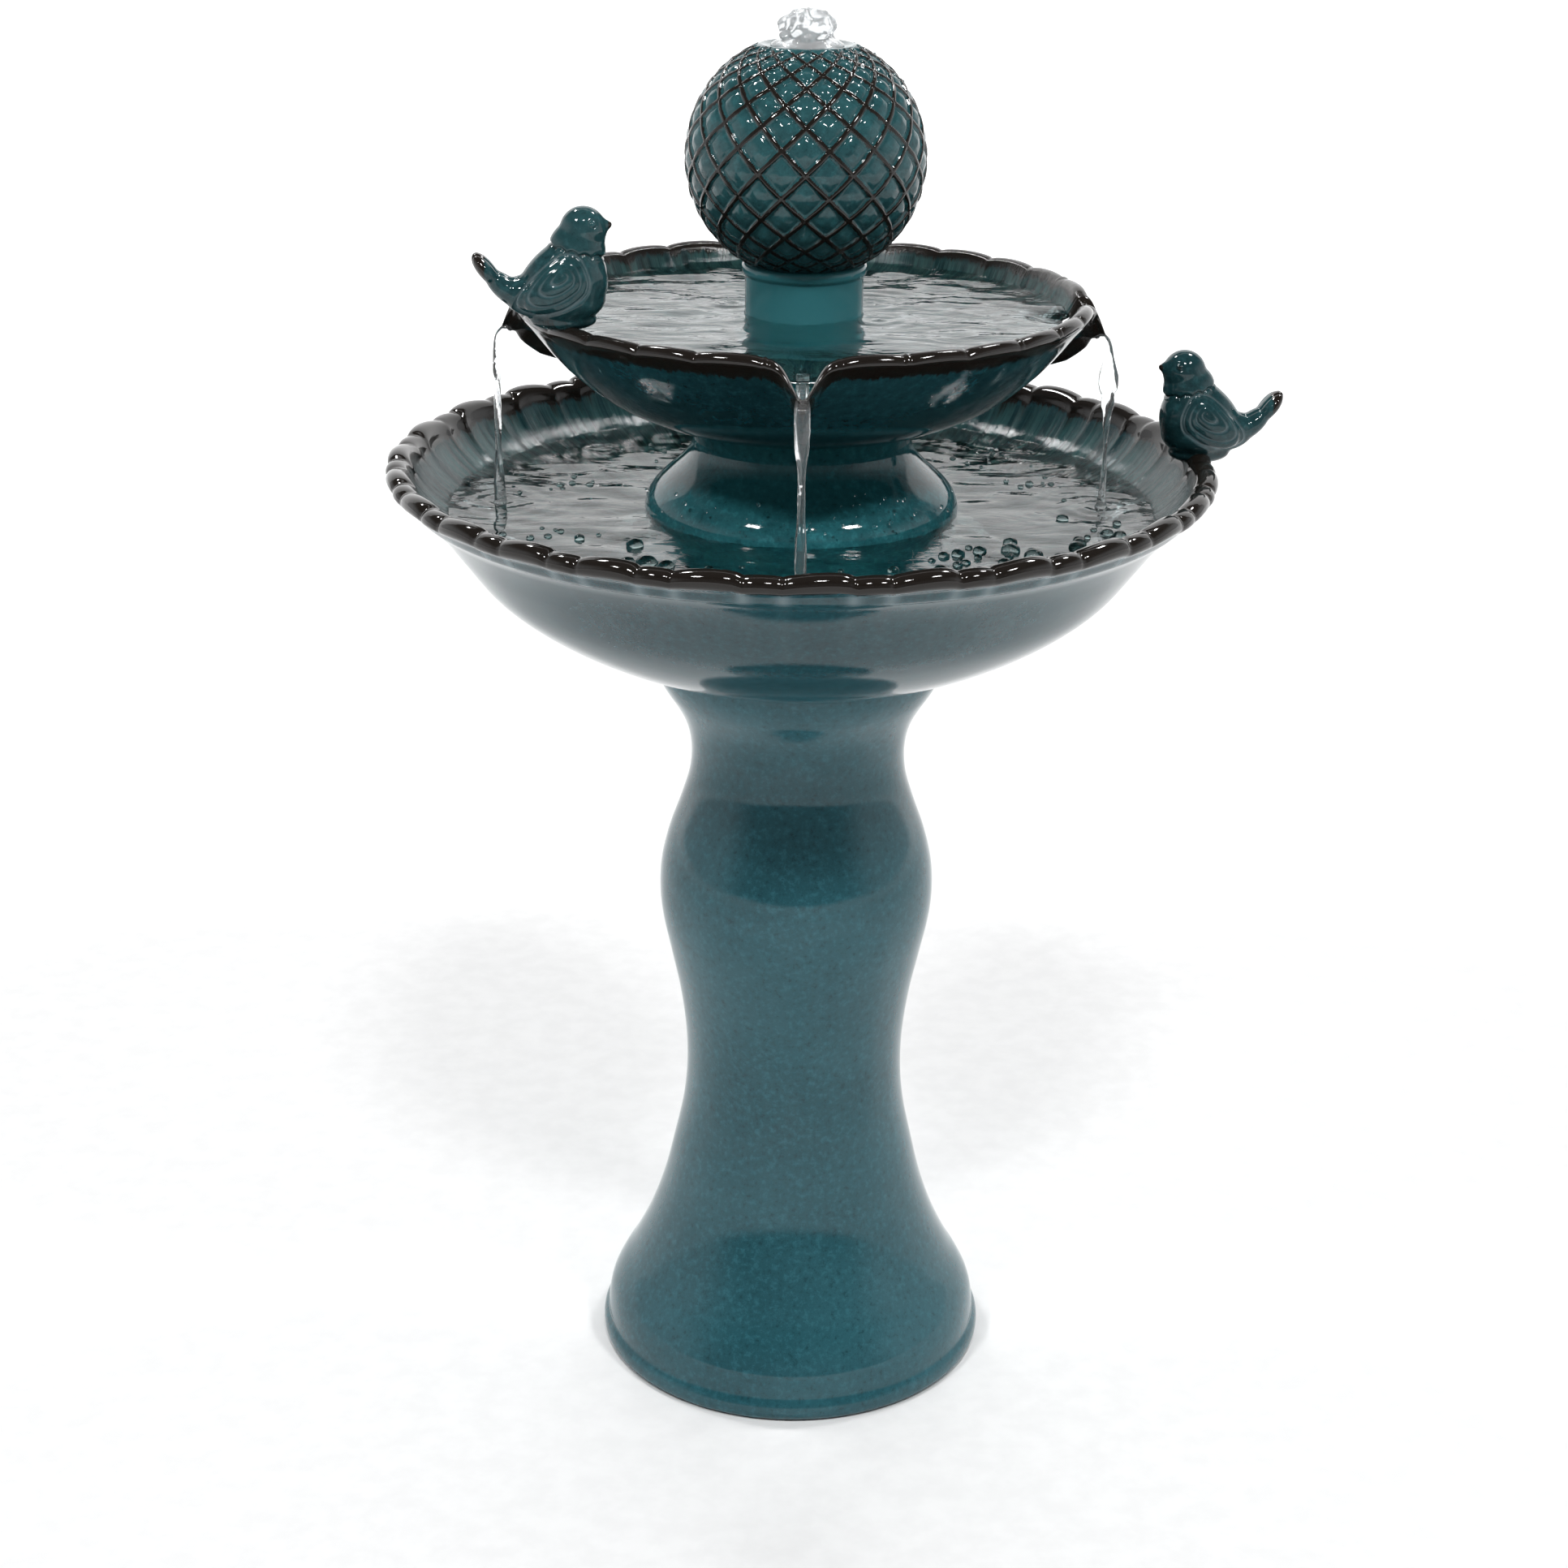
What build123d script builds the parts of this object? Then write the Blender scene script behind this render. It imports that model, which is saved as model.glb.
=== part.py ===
from build123d import *
import os
from math import cos, radians, sin, sqrt

os.makedirs("parts", exist_ok=True)

# Two-tier ceramic bird bath.  Millimetres, +Z up, origin at the centre of the
# pedestal's foot, on the ground.

# ---------------------------------------------------------------- pedestal
PEDESTAL_H = 387.35        # ground to the lower bowl's seat
FOOT_R = 101.6             # widest radius of the foot
FOOT_BAND = 12.0           # height of the foot's upright edge
FOOT_EDGE = 6.0            # rounding under the foot's edge
WAIST_R = 56.8
WAIST_Z = 158.0            # waist above the ground
KNOP_R = 70.3
KNOP_DROP = 127.0          # knop below the pedestal's top
NECK_R = 54.5
NECK_DROP = 60.0           # neck below the pedestal's top
MOUTH_R = 66.5
PEDESTAL_WALL = 7.0
SEAT_RIM = 9.0             # width of the ring that the bowl rests on
SEAT_DEPTH = 14.0          # straight part of the mouth below the seat
CORD_ARCH_W = 26.0
CORD_ARCH_H = 24.0

# ---------------------------------------------------------------- lower bowl
LOWER_R = 203.2
LOWER_H = 102.0            # seat to the top of the rim
LOWER_FOOT_R = 68.0        # flat underside
LOWER_WALL = 8.65
LOWER_FLOOR = 10.0         # thickness of the flat floor
LOWER_FLOOR_R = 84.0
LOWER_LIP = 5.5            # radius of the rolled rim
LOWER_BAND_W = 26.0        # width of the scalloped band
LOWER_BAND_H = 32.0
LOWER_LOBES = 27
FOOT_RING_H = 12.0         # ring under the bowl, inside the pedestal's mouth
FOOT_RING_WALL = 7.0
FOOT_RING_GAP = 2.0        # play between that ring and the mouth
DRAIN_R = 9.0              # cord hole in the floor
DRAIN_MARGIN = 3.5         # floor between the cord hole and the foot ring

# ---------------------------------------------------------------- riser stand
STAND_H = 107.65
STAND_R = 76.0
STAND_FLARE = 3.0          # how far the skirt spreads at the floor
STAND_WAIST_R = 53.5
STAND_TOP_R = 55.0
STAND_SHOULDER = 37.0      # shoulder below the stand's top
STAND_WAIST_DROP = 7.0     # waist below the stand's top
STAND_WALL = 6.0
INTAKE_W = 22.0            # water arches round the skirt
INTAKE_H = 13.0
INTAKES = 4

# ---------------------------------------------------------------- upper bowl
UPPER_R = 139.7
UPPER_H = 64.0
UPPER_WALL = 7.0
UPPER_FLOOR = 9.0
UPPER_FLOOR_R = 52.0
UPPER_LIP = 5.0
UPPER_BAND_W = 19.7
UPPER_BAND_H = 28.0
UPPER_LOBES = 28
COLUMN_R = 28.5
COLUMN_LIP_R = 30.0
COLUMN_LIP_H = 5.0
COLUMN_H = 78.0            # bowl's underside to the ball's seat
COLUMN_BORE = 17.0
SPIGOT_H = 6.0             # ring on the column that centres the ball
SPIGOT_GAP = 1.0
SEAL_R = 11.0              # hole in the floor for the tube's seal
SEAL_FLANGE = 3.0          # width and thickness of the seal's flange
SPOUTS = 4
SPOUT_REACH = 7.5          # how far a spout's tip passes the rim
SPOUT_DROP = 19.0          # channel's bottom below the rim
SPOUT_TOP_W = 26.0         # channel's width at the rim
SPOUT_ROOT = (34.0, 22.0)  # width and height where a spout leaves the wall
SPOUT_TIP = (15.0, 9.0)
SPOUT_BED = 3.0            # spout's root outside the band's lower edge
SCALLOP_R = 5.0            # round of the groove between two lobes
SCALLOP_DEPTH = 2.2
SCALLOP_SHARE = 0.94       # length of a groove, as a share of its band

# ---------------------------------------------------------------- ball
BALL_R = 57.15
BALL_WALL = 6.0
BALL_SEAT_R = 27.1         # flat under the ball
CROWN_R = 22.66            # flat on top of the ball
CROWN_T = 5.0
CROWN_HOLE_R = 13.0

# ---------------------------------------------------------------- birds
BIRD_BODY_L = 45.0
BIRD_BODY_R = 15.0
BIRD_BODY_AT = (-1.0, 15.5)
BIRD_BODY_TILT = 12.0
BIRD_HEAD_R = 12.5
BIRD_HEAD_AT = (7.2, 37.0)
BIRD_NECK_R = 14.0
BIRD_BEAK_R = 5.0
BIRD_BEAK_L = 5.5
BIRD_BEAK_TIP_R = 0.8
BIRD_BEAK_IN = 2.0         # beak's root inside the head
BIRD_BEAK_TILT = 70.0      # from straight up
BIRD_TAIL_W = 17.0
BIRD_TAIL_T = 7.0
BIRD_TAIL_TIP = (-37.7, 25.0)
BIRD_TAIL_TILT = 33.0
BIRD_SINK = 2.0            # how far a bird is bedded into its rim
LOWER_BIRD_AZ = 6.0        # place round the rim, in degrees
LOWER_BIRD_IN = 7.0        # middle of the bird inside the rim's outer edge
UPPER_BIRD_AZ = 216.0
UPPER_BIRD_IN = 7.0
UPPER_BIRD_HEADING = 4.0   # beak's direction

# ---------------------------------------------------------------- tube and nozzle
TUBE_R = 6.5
TUBE_BORE = 5.0
TUBE_FIT = 0.08            # barb inside the tube
NOZZLE_R = 8.5
NOZZLE_FLANGE = 3.0
NOZZLE_STEM = 12.0
NOZZLE_BELOW_CROWN = 1.5
NOZZLE_JET_R = 1.6
NOZZLE_JETS = 6
NOZZLE_JET_PCD = 7.0
NOZZLE_WALL = 1.2

# ---------------------------------------------------------------- pump
PUMP_REAR = 58.0           # rear face behind the outlet's axis
PUMP_W = 46.0
PUMP_H = 42.0
PUMP_WALL = 2.5
PUMP_EDGE = 4.0            # rounding of the long edges
CHAMBER_R = 16.0
CHAMBER_L = 16.0           # impeller chamber, centred under the outlet
WELL_BORE = 8.5
WELL_WALL = 1.5
WELL_L = 20.0
MAGNET_R = 7.4
MAGNET_L = 18.0
SHAFT_R = 1.5
SHAFT_RUN = 0.05           # impeller's running clearance on the shaft
BLADE_R = 11.5
BLADE_T = 1.6
BLADES = 6
IMPELLER_HUB_R = 4.0
IMPELLER_L = 10.0
IMPELLER_GAP = 3.0         # blades behind the chamber's front
IMPELLER_DISC = 1.5
BEARING_R = 3.2
BEARING_L = 4.0
COVER_T = 3.0
COVER_R = 18.0
COVER_EYE_R = 8.0
HUB_R = 4.4
SPOKE_W = 2.0
INTAKE_SHELL_L = 14.0
INTAKE_SHELL_W = 40.0
INTAKE_SHELL_H = 38.0
INTAKE_SHELL_WALL = 2.0
INTAKE_SHELL_EDGE = 5.0
SLOT_W = 2.4
SLOT_H = 24.0
SLOTS = 5
SLOT_PITCH = 6.0
SLIDER_W = 14.0
SLIDER_T = 2.0
SLIDER_TRAVEL = 8.0
SLIDER_PLAY = 0.3
RAIL_W = 2.0
RAIL_LIP = 1.0             # hook that holds the slider in
SLIDER_RIB = 2.4           # height of the thumb rib
FOAM_PLAY = 0.5
FOAM_GAP = 3.0             # foam in front of the volute cover
CUP_R = 8.0
CUP_H = 6.0
CUP_EDGE = 1.5             # flat ring at the cup's rim
CUP_X = 20.0
CUP_Y = 15.0
BARB_L = 18.0
BARB_FLANGE_R = 8.0
BARB_FLANGE = 3.0
BARB_BORE = 3.4
GLAND_R = 5.5
GLAND_L = 9.0
GLAND_TAPER = 1.5
GROMMET_FLANGE = 2.5       # width and thickness of the grommet's flange
CORD_R = 2.6               # bore for the supply cord
CORE_T = 16.0
CORE_LEG = 6.0
COIL_T = 5.0
COIL_W = 18.0
COIL_BACK = 2.0            # coil inside the bay's open end
COIL_EDGE = 3.0
CORE_PLAY = 1.0            # core clear of the bay's walls

# ---------------------------------------------------------------- stacked heights
LOWER_Z = PEDESTAL_H
FLOOR_Z = LOWER_Z + LOWER_FLOOR
STAND_TOP = FLOOR_Z + STAND_H
UPPER_Z = STAND_TOP
UPPER_RIM = UPPER_Z + UPPER_H
SEAT_Z = UPPER_Z + COLUMN_H
BALL_Z = SEAT_Z + sqrt(BALL_R**2 - BALL_SEAT_R**2)
CROWN_Z = BALL_Z + sqrt(BALL_R**2 - CROWN_R**2)
MOUTH_BORE = MOUTH_R - SEAT_RIM
DRAIN_Y = MOUTH_BORE - FOOT_RING_GAP - FOOT_RING_WALL - DRAIN_R - DRAIN_MARGIN
PUMP_Z = FLOOR_Z + CUP_H
SHAFT_Z = PUMP_Z + PUMP_H / 2
PUMP_TOP = PUMP_Z + PUMP_H
CHAMBER_BACK = -CHAMBER_L / 2
CHAMBER_FRONT = CHAMBER_L / 2
WELL_END = CHAMBER_BACK - WELL_L
MAGNET_FRONT = CHAMBER_BACK
COVER_FRONT = CHAMBER_FRONT + COVER_T
SHELL_FRONT = COVER_FRONT + INTAKE_SHELL_L
PASS = 1.0                 # how far a cutter runs past a face


def turned(*edges):
    """Solid turned about Z from a closed outline in the XZ plane."""
    return revolve(make_face(list(edges)), Axis.Z)


def rz(radius, height):
    """Point of a turned outline."""
    return (radius, 0, height)


def inside_of(curve, wall, first, last, count):
    """Points that follow a rising curve on its inner side, one wall away."""
    points = []
    for step in range(count + 1):
        t = first + (last - first) * step / count
        on = curve @ t
        along = curve % t
        points.append(rz(on.X - wall * along.Z, on.Z + wall * along.X))
    return points


def round_x(radius, start, end, height=SHAFT_Z):
    """Cylinder along X at a height."""
    middle = Pos((start + end) / 2, 0, height)
    return middle * Rot(0, 90, 0) * Cylinder(radius, end - start)


def round_z(radius, low, high, x=0.0, y=0.0):
    """Cylinder along Z."""
    return Pos(x, y, (low + high) / 2) * Cylinder(radius, high - low)


def block(x0, x1, y0, y1, z0, z1):
    """Box between two corners."""
    middle = Pos((x0 + x1) / 2, (y0 + y1) / 2, (z0 + z1) / 2)
    return middle * Box(x1 - x0, y1 - y0, z1 - z0)


# ================================================================ pedestal
def pedestal():
    """Hollow baluster with a flared foot, a knop and a turned-out mouth."""
    foot_top = rz(FOOT_R, FOOT_BAND)
    mouth = rz(MOUTH_R, PEDESTAL_H)
    skirt_r = WAIST_R + 0.56 * (FOOT_R - WAIST_R)
    skirt_z = FOOT_BAND + 0.27 * (WAIST_Z - FOOT_BAND)
    ankle_r = WAIST_R + 0.16 * (FOOT_R - WAIST_R)
    ankle_z = FOOT_BAND + 0.64 * (WAIST_Z - FOOT_BAND)
    side = Spline(
        foot_top,
        rz(skirt_r, skirt_z),
        rz(ankle_r, ankle_z),
        rz(WAIST_R, WAIST_Z),
        rz(KNOP_R, PEDESTAL_H - KNOP_DROP),
        rz(NECK_R, PEDESTAL_H - NECK_DROP),
        mouth,
    )
    heel = rz(FOOT_R, FOOT_EDGE)
    toe = rz(FOOT_R - FOOT_EDGE, 0)
    diagonal = FOOT_EDGE * cos(radians(45))
    bend = rz(FOOT_R - FOOT_EDGE + diagonal, FOOT_EDGE - diagonal)
    body = turned(
        Line(rz(0, 0), toe),
        ThreePointArc(toe, bend, heel),
        Line(heel, foot_top),
        side,
        Line(mouth, rz(0, PEDESTAL_H)),
        Line(rz(0, PEDESTAL_H), rz(0, 0)),
    )
    skin = inside_of(side, PEDESTAL_WALL, 0.03, 0.93, 12)
    inner = Spline(*skin)
    low = rz(skin[0][0], -PASS)
    shoulder = rz(MOUTH_BORE, PEDESTAL_H - SEAT_DEPTH)
    high = rz(MOUTH_BORE, PEDESTAL_H + PASS)
    hollow = turned(
        Line(rz(0, -PASS), low),
        Line(low, skin[0]),
        inner,
        Line(skin[-1], shoulder),
        Line(shoulder, high),
        Line(high, rz(0, PEDESTAL_H + PASS)),
        Line(rz(0, PEDESTAL_H + PASS), rz(0, -PASS)),
    )
    arch_round = CORD_ARCH_W / 2
    arch = block(-arch_round, arch_round, FOOT_R / 2, FOOT_R + PASS, -PASS, CORD_ARCH_H - arch_round)
    crown = Pos(0, (3 * FOOT_R / 2 + PASS) / 2, CORD_ARCH_H - arch_round)
    crown = crown * Rot(90, 0, 0) * Cylinder(arch_round, FOOT_R / 2 + PASS)
    return body - hollow - arch - crown


# ================================================================ bowls
def dish(z, foot_r, rim_r, height, band_w, band_h, wall, floor_t, floor_r, lip, shape):
    """Bowl with a flat floor, a flared band and a rolled rim, before its scallops."""
    band_r = rim_r - band_w
    band_z = z + height - band_h
    below = [rz(foot_r, z)]
    for out, up in shape:
        below.append(rz(foot_r + out * (band_r - foot_r), z + up * (band_z - z)))
    below.append(rz(band_r, band_z))
    under = Spline(*below)
    lip_z = z + height - lip
    lip_r = rim_r - lip
    lip_out = rz(rim_r, lip_z)
    lip_top = rz(lip_r, z + height)
    lip_in = rz(lip_r - lip, lip_z)
    floor_edge = rz(floor_r, z + floor_t)
    wall_in = [p for p in inside_of(under, wall, 0.0, 1.0, 10) if p[0] > floor_r + 2 * floor_t]
    inner = Spline(floor_edge, *wall_in, lip_in, tangents=[(1, 0, 0.05), (0.5, 0, 0.87)])
    return turned(
        Line(rz(0, z), rz(foot_r, z)),
        under,
        Line(rz(band_r, band_z), lip_out),
        ThreePointArc(lip_out, lip_top, lip_in),
        inner,
        Line(floor_edge, rz(0, z + floor_t)),
        Line(rz(0, z + floor_t), rz(0, z)),
    )


def scallops(rim_r, rim_z, band_w, band_h, lobes):
    """Grooves between the lobes of a rim, along its band."""
    run = sqrt(band_w**2 + band_h**2)
    out = band_h / run
    up = -band_w / run
    shift = SCALLOP_R - SCALLOP_DEPTH
    centre_r = rim_r - band_w / 2 + out * shift
    centre_z = rim_z - band_h / 2 + up * shift
    lean = Vector(band_w, 0, band_h)
    grooves = []
    for lobe in range(lobes):
        place = Plane(origin=(centre_r, 0, centre_z), z_dir=lean)
        groove = place * Cylinder(SCALLOP_R, SCALLOP_SHARE * run)
        grooves.append(Rot(0, 0, (lobe + 0.5) * 360 / lobes) * groove)
    return grooves


def lower_bowl():
    """Large bowl with a foot ring and a cord hole."""
    shape = [(0.156, 0.024), (0.385, 0.166), (0.614, 0.366), (0.797, 0.592), (0.934, 0.864)]
    bowl = dish(LOWER_Z, LOWER_FOOT_R, LOWER_R, LOWER_H, LOWER_BAND_W, LOWER_BAND_H,
                LOWER_WALL, LOWER_FLOOR, LOWER_FLOOR_R, LOWER_LIP, shape)
    ring_r = MOUTH_BORE - FOOT_RING_GAP
    ring = round_z(ring_r, LOWER_Z - FOOT_RING_H, LOWER_Z + PASS)
    ring -= round_z(ring_r - FOOT_RING_WALL, LOWER_Z - FOOT_RING_H - PASS, LOWER_Z)
    drain = round_z(DRAIN_R, LOWER_Z - PASS, FLOOR_Z + PASS, y=DRAIN_Y)
    cuts = scallops(LOWER_R, LOWER_Z + LOWER_H, LOWER_BAND_W, LOWER_BAND_H, LOWER_LOBES)
    return (bowl + ring - drain) - cuts


def spout():
    """Beak under a channel, pointing along +X."""
    root_w, root_h = SPOUT_ROOT
    tip_w, tip_h = SPOUT_TIP
    root_r = UPPER_R - UPPER_BAND_W + SPOUT_BED
    tip_r = UPPER_R + SPOUT_REACH
    root_z = UPPER_RIM - UPPER_BAND_H / 2 - 2.0
    tip_z = UPPER_RIM - SPOUT_DROP - tip_h / 4
    root = Plane((root_r, 0, root_z), x_dir=(0, 1, 0), z_dir=(1, 0, 0)) * Rectangle(root_w, root_h)
    tip = Plane((tip_r, 0, tip_z), x_dir=(0, 1, 0), z_dir=(1, 0, 0)) * Rectangle(tip_w, tip_h)
    return loft([root.face(), tip.face()])


def channel():
    """V-shaped cutter for a spout, along +X."""
    top = UPPER_RIM + PASS
    bottom = UPPER_RIM - SPOUT_DROP
    half = SPOUT_TOP_W / 2
    start = UPPER_R - UPPER_BAND_W - UPPER_WALL
    outline = Polyline((start, 0, bottom), (start, half, top), (start, -half, top), close=True)
    reach = UPPER_R + SPOUT_REACH + PASS - start
    return extrude(make_face(outline), amount=reach, dir=(1, 0, 0))


def upper_bowl():
    """Small bowl with four spouts and the hollow column that carries the ball."""
    shape = [(0.108, 0.055), (0.354, 0.194), (0.662, 0.472), (0.908, 0.833)]
    bowl = dish(UPPER_Z, STAND_TOP_R, UPPER_R, UPPER_H, UPPER_BAND_W, UPPER_BAND_H,
                UPPER_WALL, UPPER_FLOOR, UPPER_FLOOR_R, UPPER_LIP, shape)
    bowl -= scallops(UPPER_R, UPPER_RIM, UPPER_BAND_W, UPPER_BAND_H, UPPER_LOBES)
    for turn in range(SPOUTS):
        bowl += Rot(0, 0, turn * 360 / SPOUTS) * spout()
    for turn in range(SPOUTS):
        bowl -= Rot(0, 0, turn * 360 / SPOUTS) * channel()
    spigot_r = BALL_SEAT_R - BALL_WALL + SPIGOT_GAP / 2
    column = round_z(COLUMN_R, UPPER_Z + UPPER_FLOOR / 2, SEAT_Z)
    column += round_z(COLUMN_LIP_R, SEAT_Z - COLUMN_LIP_H, SEAT_Z)
    column += round_z(spigot_r, SEAT_Z - PASS, SEAT_Z + SPIGOT_H)
    bore = round_z(COLUMN_BORE, UPPER_Z + UPPER_FLOOR, SEAT_Z + SPIGOT_H + PASS)
    seal = round_z(SEAL_R, UPPER_Z - PASS, UPPER_Z + UPPER_FLOOR + PASS)
    return bowl + column - bore - seal


# ================================================================ riser stand
def riser_stand():
    """Hollow bell that covers the pump and carries the upper bowl."""
    waist_z = STAND_TOP - STAND_WAIST_DROP
    shoulder_z = STAND_TOP - STAND_SHOULDER
    side = Spline(
        rz(STAND_R + STAND_FLARE, FLOOR_Z),
        rz(STAND_R, FLOOR_Z + 0.45 * STAND_H),
        rz(STAND_R, shoulder_z),
        rz(STAND_WAIST_R + 0.24 * (STAND_R - STAND_WAIST_R), STAND_TOP - 0.5 * STAND_SHOULDER),
        rz(STAND_WAIST_R, waist_z),
        tangents=[(0, 0, 1), (0, 0, 1)],
    )
    top = rz(STAND_TOP_R, STAND_TOP)
    body = turned(
        Line(rz(0, FLOOR_Z), side @ 0),
        side,
        Line(side @ 1, top),
        Line(top, rz(0, STAND_TOP)),
        Line(rz(0, STAND_TOP), rz(0, FLOOR_Z)),
    )
    skin = inside_of(side, STAND_WALL, 0.0, 1.0, 10)
    low = rz(skin[0][0], FLOOR_Z - PASS)
    high = rz(skin[-1][0], STAND_TOP + PASS)
    hollow = turned(
        Line(rz(0, FLOOR_Z - PASS), low),
        Line(low, skin[0]),
        Spline(*skin),
        Line(skin[-1], high),
        Line(high, rz(0, STAND_TOP + PASS)),
        Line(rz(0, STAND_TOP + PASS), rz(0, FLOOR_Z - PASS)),
    )
    stand = body - hollow
    half = INTAKE_W / 2
    reach = STAND_R + STAND_FLARE + PASS
    for turn in range(INTAKES):
        arch = block(STAND_R / 2, reach, -half, half, FLOOR_Z - PASS, FLOOR_Z + INTAKE_H)
        stand -= Rot(0, 0, (turn + 0.5) * 360 / INTAKES) * arch
    return stand


# ================================================================ ball
def ball_finial():
    """Hollow ball with a flat seat, and a hole in its flat crown."""
    seat_cut = block(-BALL_R, BALL_R, -BALL_R, BALL_R, BALL_Z - 2 * BALL_R, SEAT_Z)
    crown_cut = block(-BALL_R, BALL_R, -BALL_R, BALL_R, CROWN_Z, BALL_Z + 2 * BALL_R)
    ball = Pos(0, 0, BALL_Z) * Sphere(BALL_R) - seat_cut - crown_cut
    roof = block(-BALL_R, BALL_R, -BALL_R, BALL_R, CROWN_Z - CROWN_T, BALL_Z + 2 * BALL_R)
    hollow = Pos(0, 0, BALL_Z) * Sphere(BALL_R - BALL_WALL) - roof
    spigot_hole = BALL_SEAT_R - BALL_WALL + SPIGOT_GAP / 2 + SPIGOT_GAP
    neck = round_z(spigot_hole, SEAT_Z - PASS, BALL_Z)
    crown_hole = round_z(CROWN_HOLE_R, BALL_Z, CROWN_Z + PASS)
    return ball - hollow - neck - crown_hole


# ================================================================ birds
def bird():
    """Small squatting bird at the origin, facing +X."""
    body_arc = EllipticalCenterArc((0, 0), BIRD_BODY_L / 2, BIRD_BODY_R, start_angle=0, arc_size=180)
    body = revolve(make_face([body_arc, Line(body_arc @ 1, body_arc @ 0)]), Axis.X)
    body_x, body_z = BIRD_BODY_AT
    body = Pos(body_x, 0, body_z) * Rot(0, -BIRD_BODY_TILT, 0) * body
    head_x, head_z = BIRD_HEAD_AT
    head = Pos(head_x, 0, head_z) * Sphere(BIRD_HEAD_R)
    neck_h = head_z - body_z
    neck_x = (body_x + 2 * head_x) / 3
    neck = Pos(neck_x, 0, (head_z + body_z) / 2) * Cone(BIRD_NECK_R, BIRD_HEAD_R - 1.0, neck_h)
    toward = radians(90 - BIRD_BEAK_TILT)
    beak_out = BIRD_HEAD_R - BIRD_BEAK_IN + BIRD_BEAK_L / 2
    beak_x = head_x + beak_out * cos(toward)
    beak_z = head_z + beak_out * sin(toward)
    beak = Pos(beak_x, 0, beak_z) * Rot(0, BIRD_BEAK_TILT, 0) * Cone(BIRD_BEAK_R, BIRD_BEAK_TIP_R, BIRD_BEAK_L)
    tip_x, tip_z = BIRD_TAIL_TIP
    tail_l = body_x - tip_x
    paddle = Box(tail_l, BIRD_TAIL_W, BIRD_TAIL_T, align=(Align.MIN, Align.CENTER, Align.CENTER))
    paddle = fillet(paddle.edges().filter_by(Axis.Z), BIRD_TAIL_W / 4)
    tail = Pos(tip_x, 0, tip_z) * Rot(0, BIRD_TAIL_TILT, 0) * paddle
    return body + neck + head + beak + tail


def perched(az, inset, rim_r, rim_z, heading, bowl):
    """Bird squatting on a rim, trimmed to the bowl's glaze."""
    seat_r = rim_r - inset
    place = Pos(seat_r * cos(radians(az)), seat_r * sin(radians(az)), rim_z - BIRD_SINK)
    squatting = place * Rot(0, 0, heading) * bird()
    trimmed = squatting - bowl
    return max(trimmed.solids(), key=lambda piece: piece.volume)


# ================================================================ tube and seals
def riser_tube():
    """Clear tube from the pump's barb up to the nozzle."""
    low = PUMP_TOP + BARB_FLANGE + PASS
    high = CROWN_Z - NOZZLE_BELOW_CROWN - NOZZLE_STEM
    return round_z(TUBE_R, low, high) - round_z(TUBE_BORE, low - PASS, high + PASS)


def jet_nozzle():
    """Bubbler nozzle plugged into the tube's top end."""
    tube_end = CROWN_Z - NOZZLE_BELOW_CROWN - NOZZLE_STEM
    top = CROWN_Z - NOZZLE_BELOW_CROWN
    stem_r = TUBE_BORE - TUBE_FIT
    nozzle = round_z(stem_r, tube_end - NOZZLE_STEM, tube_end)
    nozzle += round_z(NOZZLE_R, tube_end, tube_end + NOZZLE_FLANGE)
    nozzle += round_z(TUBE_R, tube_end, top)
    nozzle -= round_z(stem_r - NOZZLE_WALL, tube_end - NOZZLE_STEM - PASS, top - NOZZLE_FLANGE)
    for jet in range(NOZZLE_JETS):
        turn = radians(jet * 360 / NOZZLE_JETS)
        x = NOZZLE_JET_PCD / 2 * cos(turn)
        y = NOZZLE_JET_PCD / 2 * sin(turn)
        nozzle -= round_z(NOZZLE_JET_R / 2, top - NOZZLE_FLANGE - PASS, top + PASS, x, y)
    return nozzle


def tube_seal():
    """Rubber bush that seals the tube in the upper bowl's floor."""
    low = UPPER_Z
    floor = UPPER_Z + UPPER_FLOOR
    bush = round_z(SEAL_R, low, floor)
    bush += round_z(SEAL_R + SEAL_FLANGE, floor, floor + SEAL_FLANGE)
    return bush - round_z(TUBE_R, low - PASS, floor + SEAL_FLANGE + PASS)


def cord_grommet():
    """Rubber plug in the lower bowl's cord hole."""
    plug = round_z(DRAIN_R, LOWER_Z, FLOOR_Z, y=DRAIN_Y)
    plug += round_z(DRAIN_R + GROMMET_FLANGE, FLOOR_Z, FLOOR_Z + GROMMET_FLANGE, y=DRAIN_Y)
    return plug - round_z(CORD_R, LOWER_Z - PASS, FLOOR_Z + GROMMET_FLANGE + PASS, y=DRAIN_Y)


# ================================================================ pump
def rotor_well():
    """Blind tube that holds the rotor, open into the impeller chamber."""
    return round_x(WELL_BORE + WELL_WALL, WELL_END - WELL_WALL, CHAMBER_BACK)


def motor_bay():
    """Space behind the impeller chamber, open at the rear."""
    half_w = PUMP_W / 2 - PUMP_WALL
    return block(-PUMP_REAR, CHAMBER_BACK - PUMP_WALL, -half_w, half_w,
                 PUMP_Z + PUMP_WALL, PUMP_TOP - PUMP_WALL)


def pump_housing():
    """Moulded case: impeller chamber in front, motor bay behind."""
    case = block(-PUMP_REAR, CHAMBER_FRONT, -PUMP_W / 2, PUMP_W / 2, PUMP_Z, PUMP_TOP)
    case = fillet(case.edges().filter_by(Axis.X), PUMP_EDGE)
    case -= motor_bay()
    case += rotor_well()
    case -= round_x(WELL_BORE, WELL_END, CHAMBER_BACK + PASS)
    case -= round_x(CHAMBER_R, CHAMBER_BACK, CHAMBER_FRONT + PASS)
    case -= round_z(BARB_BORE, SHAFT_Z, PUMP_TOP + PASS)
    return case


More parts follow.
